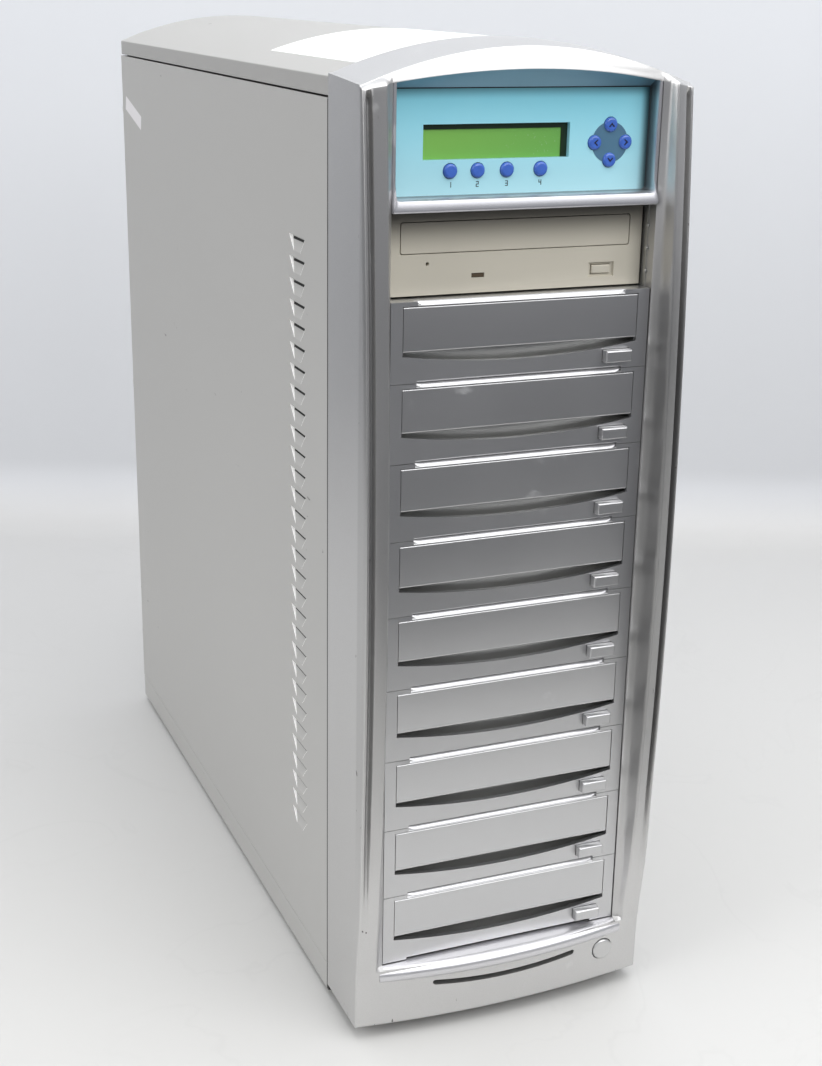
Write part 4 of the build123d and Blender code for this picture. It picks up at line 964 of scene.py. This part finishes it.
def louvre_slot(side, top):
    """A dark plate along a louvre's top: painted shade where its slot is open."""
    section = [(side * (SHELL - facet(drop) + lift), top - drop) for drop, lift in
               ((SLOT_FROM, 0.1), (SLOT_TO, 0.1), (SLOT_TO, -0.3), (SLOT_FROM, -0.3))]
    return slab(section, LOUVRE_START + SLOT_SHORT, LOUVRE_END - SLOT_SHORT)


for side, word in ((-1, "left"), (1, "right")):
    tops = LOUVRE_TOP - LOUVRE_PITCH * np.arange(LOUVRES)
    ends = [(top, end, inward) for top in tops for end, inward in ((LOUVRE_START, 1), (LOUVRE_END, -1))]
    corners = joined([louvre_corner(side, *end) for end in ends])
    walls = joined([louvre_wall(side, *end) for end in ends])
    slots = joined([louvre_slot(side, top) for top in tops])
    node = f"side_panel_{word}"
    kinds = (("corners", corners, case_paint), ("walls", walls, louvre_painted_highlight), ("slots", slots, painted_shadow_plate))
    for name, parts, material in kinds:
        mesh = mesh_from(f"louvre_{name}_{word}", *parts)
        add_piece(f"louvre_{name}_{word}", mesh, node_body[node], material, node_slot[node])
print("louvres:", 2 * LOUVRES)

# %% [markdown]
# ## Ledges, seams and cover label
# Over each drive door a slanted ledge with tapered ends mirrors the light above, and its lighter paint adds a
# painted highlight. Dark plates paint the shadow in the seams behind the front moulding on both sides. A blank
# paper label lies on the vaulted cover.

# %% Ledges over the doors
DRIVE_LOW, DRIVE_PITCH = box("writer_bezels")[0][2] / MM, 42.3
LEDGE_LOW, LEDGE_HIGH, LEDGE_BACK, LEDGE_TAPER = 39.75, 42.15, 1.9, 5.0
ledge_half = box("door_1")[1][0] / MM - 7.7


def ledge(base):
    """A convex strip that rises and runs back; both ends taper to its top line."""
    inner = 1 - LEDGE_TAPER / ledge_half
    x = ledge_half * np.concatenate([[-1, -inner], np.linspace(-0.9, 0.9, 7), [inner, 1]])
    size = np.clip((ledge_half - abs(x)) / LEDGE_TAPER, 0.06, 1)[:, None]
    part = np.array([1.0, 0.8, 0.6, 0.4, 0.2, 0.0, 0.0])
    bulge = np.array([0.0, 0.16, 0.24, 0.24, 0.16, 0.0, 0.0])
    root = np.array([0, 0, 0, 0, 0, 0, 0.6])
    y = FACE + LEDGE_BACK - size * (LEDGE_BACK - 0.1) * part - size * bulge + root
    z = base + LEDGE_HIGH - size * (LEDGE_HIGH - LEDGE_LOW) * part - root + size * bulge * 0.6
    return tube(np.stack([np.broadcast_to(x[:, None], y.shape), y, z], -1))


ledges = joined([ledge(DRIVE_LOW + row * DRIVE_PITCH) for row in range(WRITERS)])
add_piece("drive_ledges", mesh_from("drive_ledges", *ledges), "case", ledge_painted_highlight, "drive_silver")
print("ledges:", WRITERS)

# %% Panel seams and cover label
# Painted shadow: dark plates in the seams behind the front moulding.
seam_x, seam_half = SHELL - 0.9, 0.3
seam_reach = (JOIN + 0.05, JOIN + 0.75, case_low[2] / MM + 1, case_high[2] / MM)
seams = [brick(side * seam_x - seam_half, side * seam_x + seam_half, *seam_reach) for side in (-1, 1)]
add_piece("panel_seams", mesh_from("panel_seams", *joined(seams)), "case", painted_shadow_plate, "case_paint")

COVER_CREST, COVER_RISE = box("top_cover")[1][2] / MM, HOOD_DROP
PAPER_LEFT, PAPER_RIGHT, PAPER_BACK, PAPER = -74.5, 32.0, -58.0, 0.15


def cover_label():
    """A sheet on the vault, which is a circle through the crest and both shoulders."""
    half = half_width / MM
    radius = (half**2 + COVER_RISE**2) / (2 * COVER_RISE)
    x = np.linspace(PAPER_LEFT, PAPER_RIGHT, 61)
    z = COVER_CREST - radius + np.sqrt(radius**2 - x**2)
    section = [(JOIN + 5.0, -0.3), (JOIN + 5.0, PAPER), (PAPER_BACK, PAPER), (PAPER_BACK, -0.3)]
    rings = np.stack([np.stack([x, np.full_like(x, y), z + lift], -1) for y, lift in section], 1)
    return mesh_from("cover_label", *tube(rings))


add_piece("cover_label", cover_label(), "case", label_paper, "case_paint")
print("seams and label made")

# %% [markdown]
# ## Table and wall
# The tower stands on a pale table in front of a pale wall. Silver paint shows what it faces, so the table ends
# in front of the tower: the upper drive doors mirror the dimmer room beyond its edge, and the lower ones the
# bright table top. Painted shade darkens the table's front strip, which tones down what the lowest doors and the
# chin mirror; more painted shade darkens the table further back and the wall near the floor.

# %% Table and wall
def stage_finish():
    """Warm pale table at the bottom that turns into a cooler wall, with faint veins on the table only. Painted
    shade darkens the table further back, its front strip and the wall near the floor.
    """
    finish = Finish("pale_sweep")
    x, y, z = finish.axes()
    clouds = finish.noise(2.2, 3.0)
    wall = z.above(0.03, 0.05)
    # Painted shade: the table darkens away from the front.
    near = y.below(0.1, 2.2)
    table = finish.blend(near, (0.50, 0.50, 0.50), (0.61, 0.605, 0.585))
    # Painted shade on the table's front strip.
    table = finish.blend(y.below(-0.52, 0.36) * 0.85, table, (0.36, 0.355, 0.34))
    # Painted shade: the wall is darker near the floor.
    base = finish.blend(wall, table, finish.blend(z.above(0.45, 0.9), (0.60, 0.61, 0.63), (0.75, 0.77, 0.805)))
    base = finish.blend(clouds * 0.12, base, (0.45, 0.45, 0.45))
    veins = finish.noise(7, 4.0, None, 1.2)
    lines = veins.above(0.5, 0.02) * veins.below(0.515, 0.02) * finish.noise(3, 1.0).above(0.5, 0.2)
    lines = lines * wall.below(0.5, 0.5)
    finish.set(Base_Color=finish.blend(lines * 0.1, base, (0.4, 0.4, 0.39)), Roughness=0.45 + wall * 0.4)
    return finish.material


TABLE_FRONT, TABLE_LEFT, TABLE_RIGHT = -0.72, 0.98, 3.0
WALL_AWAY, WALL_TOP, SWEEP_R = 1.76, 3.0, 0.07
ahead = np.array((-np.sin(azimuth), np.cos(azimuth)))
aside = np.array((ahead[1], -ahead[0]))
ground = np.array(CAMERA_PLACE)[:2]


def sweep():
    """Table and wall in one sheet: flat from its front edge, then a quarter circle, then upright.

    It is laid out along the camera's view; only its front edge follows the tower's X axis.
    """
    across = np.linspace(-TABLE_LEFT, TABLE_RIGHT, 9)
    edge = (TABLE_FRONT - ground[1] - aside[1] * across) / ahead[1]
    turn, foot = np.radians(np.linspace(0, 90, 13))[1:], WALL_AWAY - SWEEP_R
    curve = foot + SWEEP_R * np.sin(turn)[:, None] + 0 * edge
    away = np.vstack([edge, np.maximum(edge, foot), curve, WALL_AWAY + 0 * edge])
    height = np.concatenate([[0.0, 0.0], SWEEP_R - SWEEP_R * np.cos(turn), [WALL_TOP]])
    flat = ground + away[..., None] * ahead + across[None, :, None] * aside
    points = np.concatenate([flat, np.broadcast_to(height[:, None, None], flat.shape[:2] + (1,))], -1)
    index = np.arange(away.size).reshape(away.shape)
    mesh = bpy.data.meshes.new("sweep")
    mesh.from_pydata(points.reshape(-1, 3).tolist(), [], quads(index).tolist())
    finish_mesh(mesh)
    sheet = bpy.data.objects.new("sweep", mesh)
    bpy.context.scene.collection.objects.link(sheet)
    dress(sheet, stage_finish())


sweep()
print("table and wall in place")

# %% [markdown]
# ## Lamps and room
# Three large soft lamps keep the light plain: one above, one on the left for the side panel, and a low one
# in front for the drive faces. The room itself is dim near the floor and bright overhead, since the mouldings
# mirror it. The helper for finishes also writes the room's nodes: it only needs a node tree and a shader.

# %% Lamps
def lamp(name, place, target, width, height, power):
    """A soft rectangular lamp that faces its target."""
    data = bpy.data.lights.new(name, "AREA")
    data.shape, data.size, data.size_y, data.energy = "RECTANGLE", width, height, power
    light = bpy.data.objects.new(name, data)
    aim = (Vector(target) - Vector(place)).to_track_quat("-Z", "Y").to_matrix().to_4x4()
    light.matrix_world = Matrix.Translation(Vector(place)) @ aim
    bpy.context.scene.collection.objects.link(light)


lamp("top_light", (0.2, -0.2, 2.2), (0, 0, 0.3), 2.4, 2.4, 42)
lamp("left_light", (-2.2, -0.5, 1.4), (0, 0, 0.3), 1.4, 1.6, 24)
lamp("front_light", (0.9, -2.3, 1.8), (0, 0, 0.45), 3.0, 1.4, 34)
print("lamps placed")

# %% Room
FLOOR_DIM, WALL_DIM, CEILING = (0.075, 0.078, 0.087), (0.22, 0.225, 0.245), (0.75, 0.76, 0.78)
world = bpy.data.worlds.new("room")
bpy.context.scene.world = world
world.use_nodes = True
room = Finish.__new__(Finish)
room.tree, room.shader = world.node_tree, world.node_tree.nodes["Background"]
view = room.node("ShaderNodeTexCoord", {}, {}, "Generated")
height = room.node("ShaderNodeSeparateXYZ", {}, {0: view}, "Z")
dim = room.blend(height.above(-0.16, 0.1), FLOOR_DIM, WALL_DIM)
room.set(Color=room.blend(height.above(0.4, 0.5), dim, CEILING), Strength=1.0)
bpy.context.scene.view_settings.view_transform = "Standard"
print("room ready")

# %% [markdown]
# ## End

# %% Finish
print("scene ready")
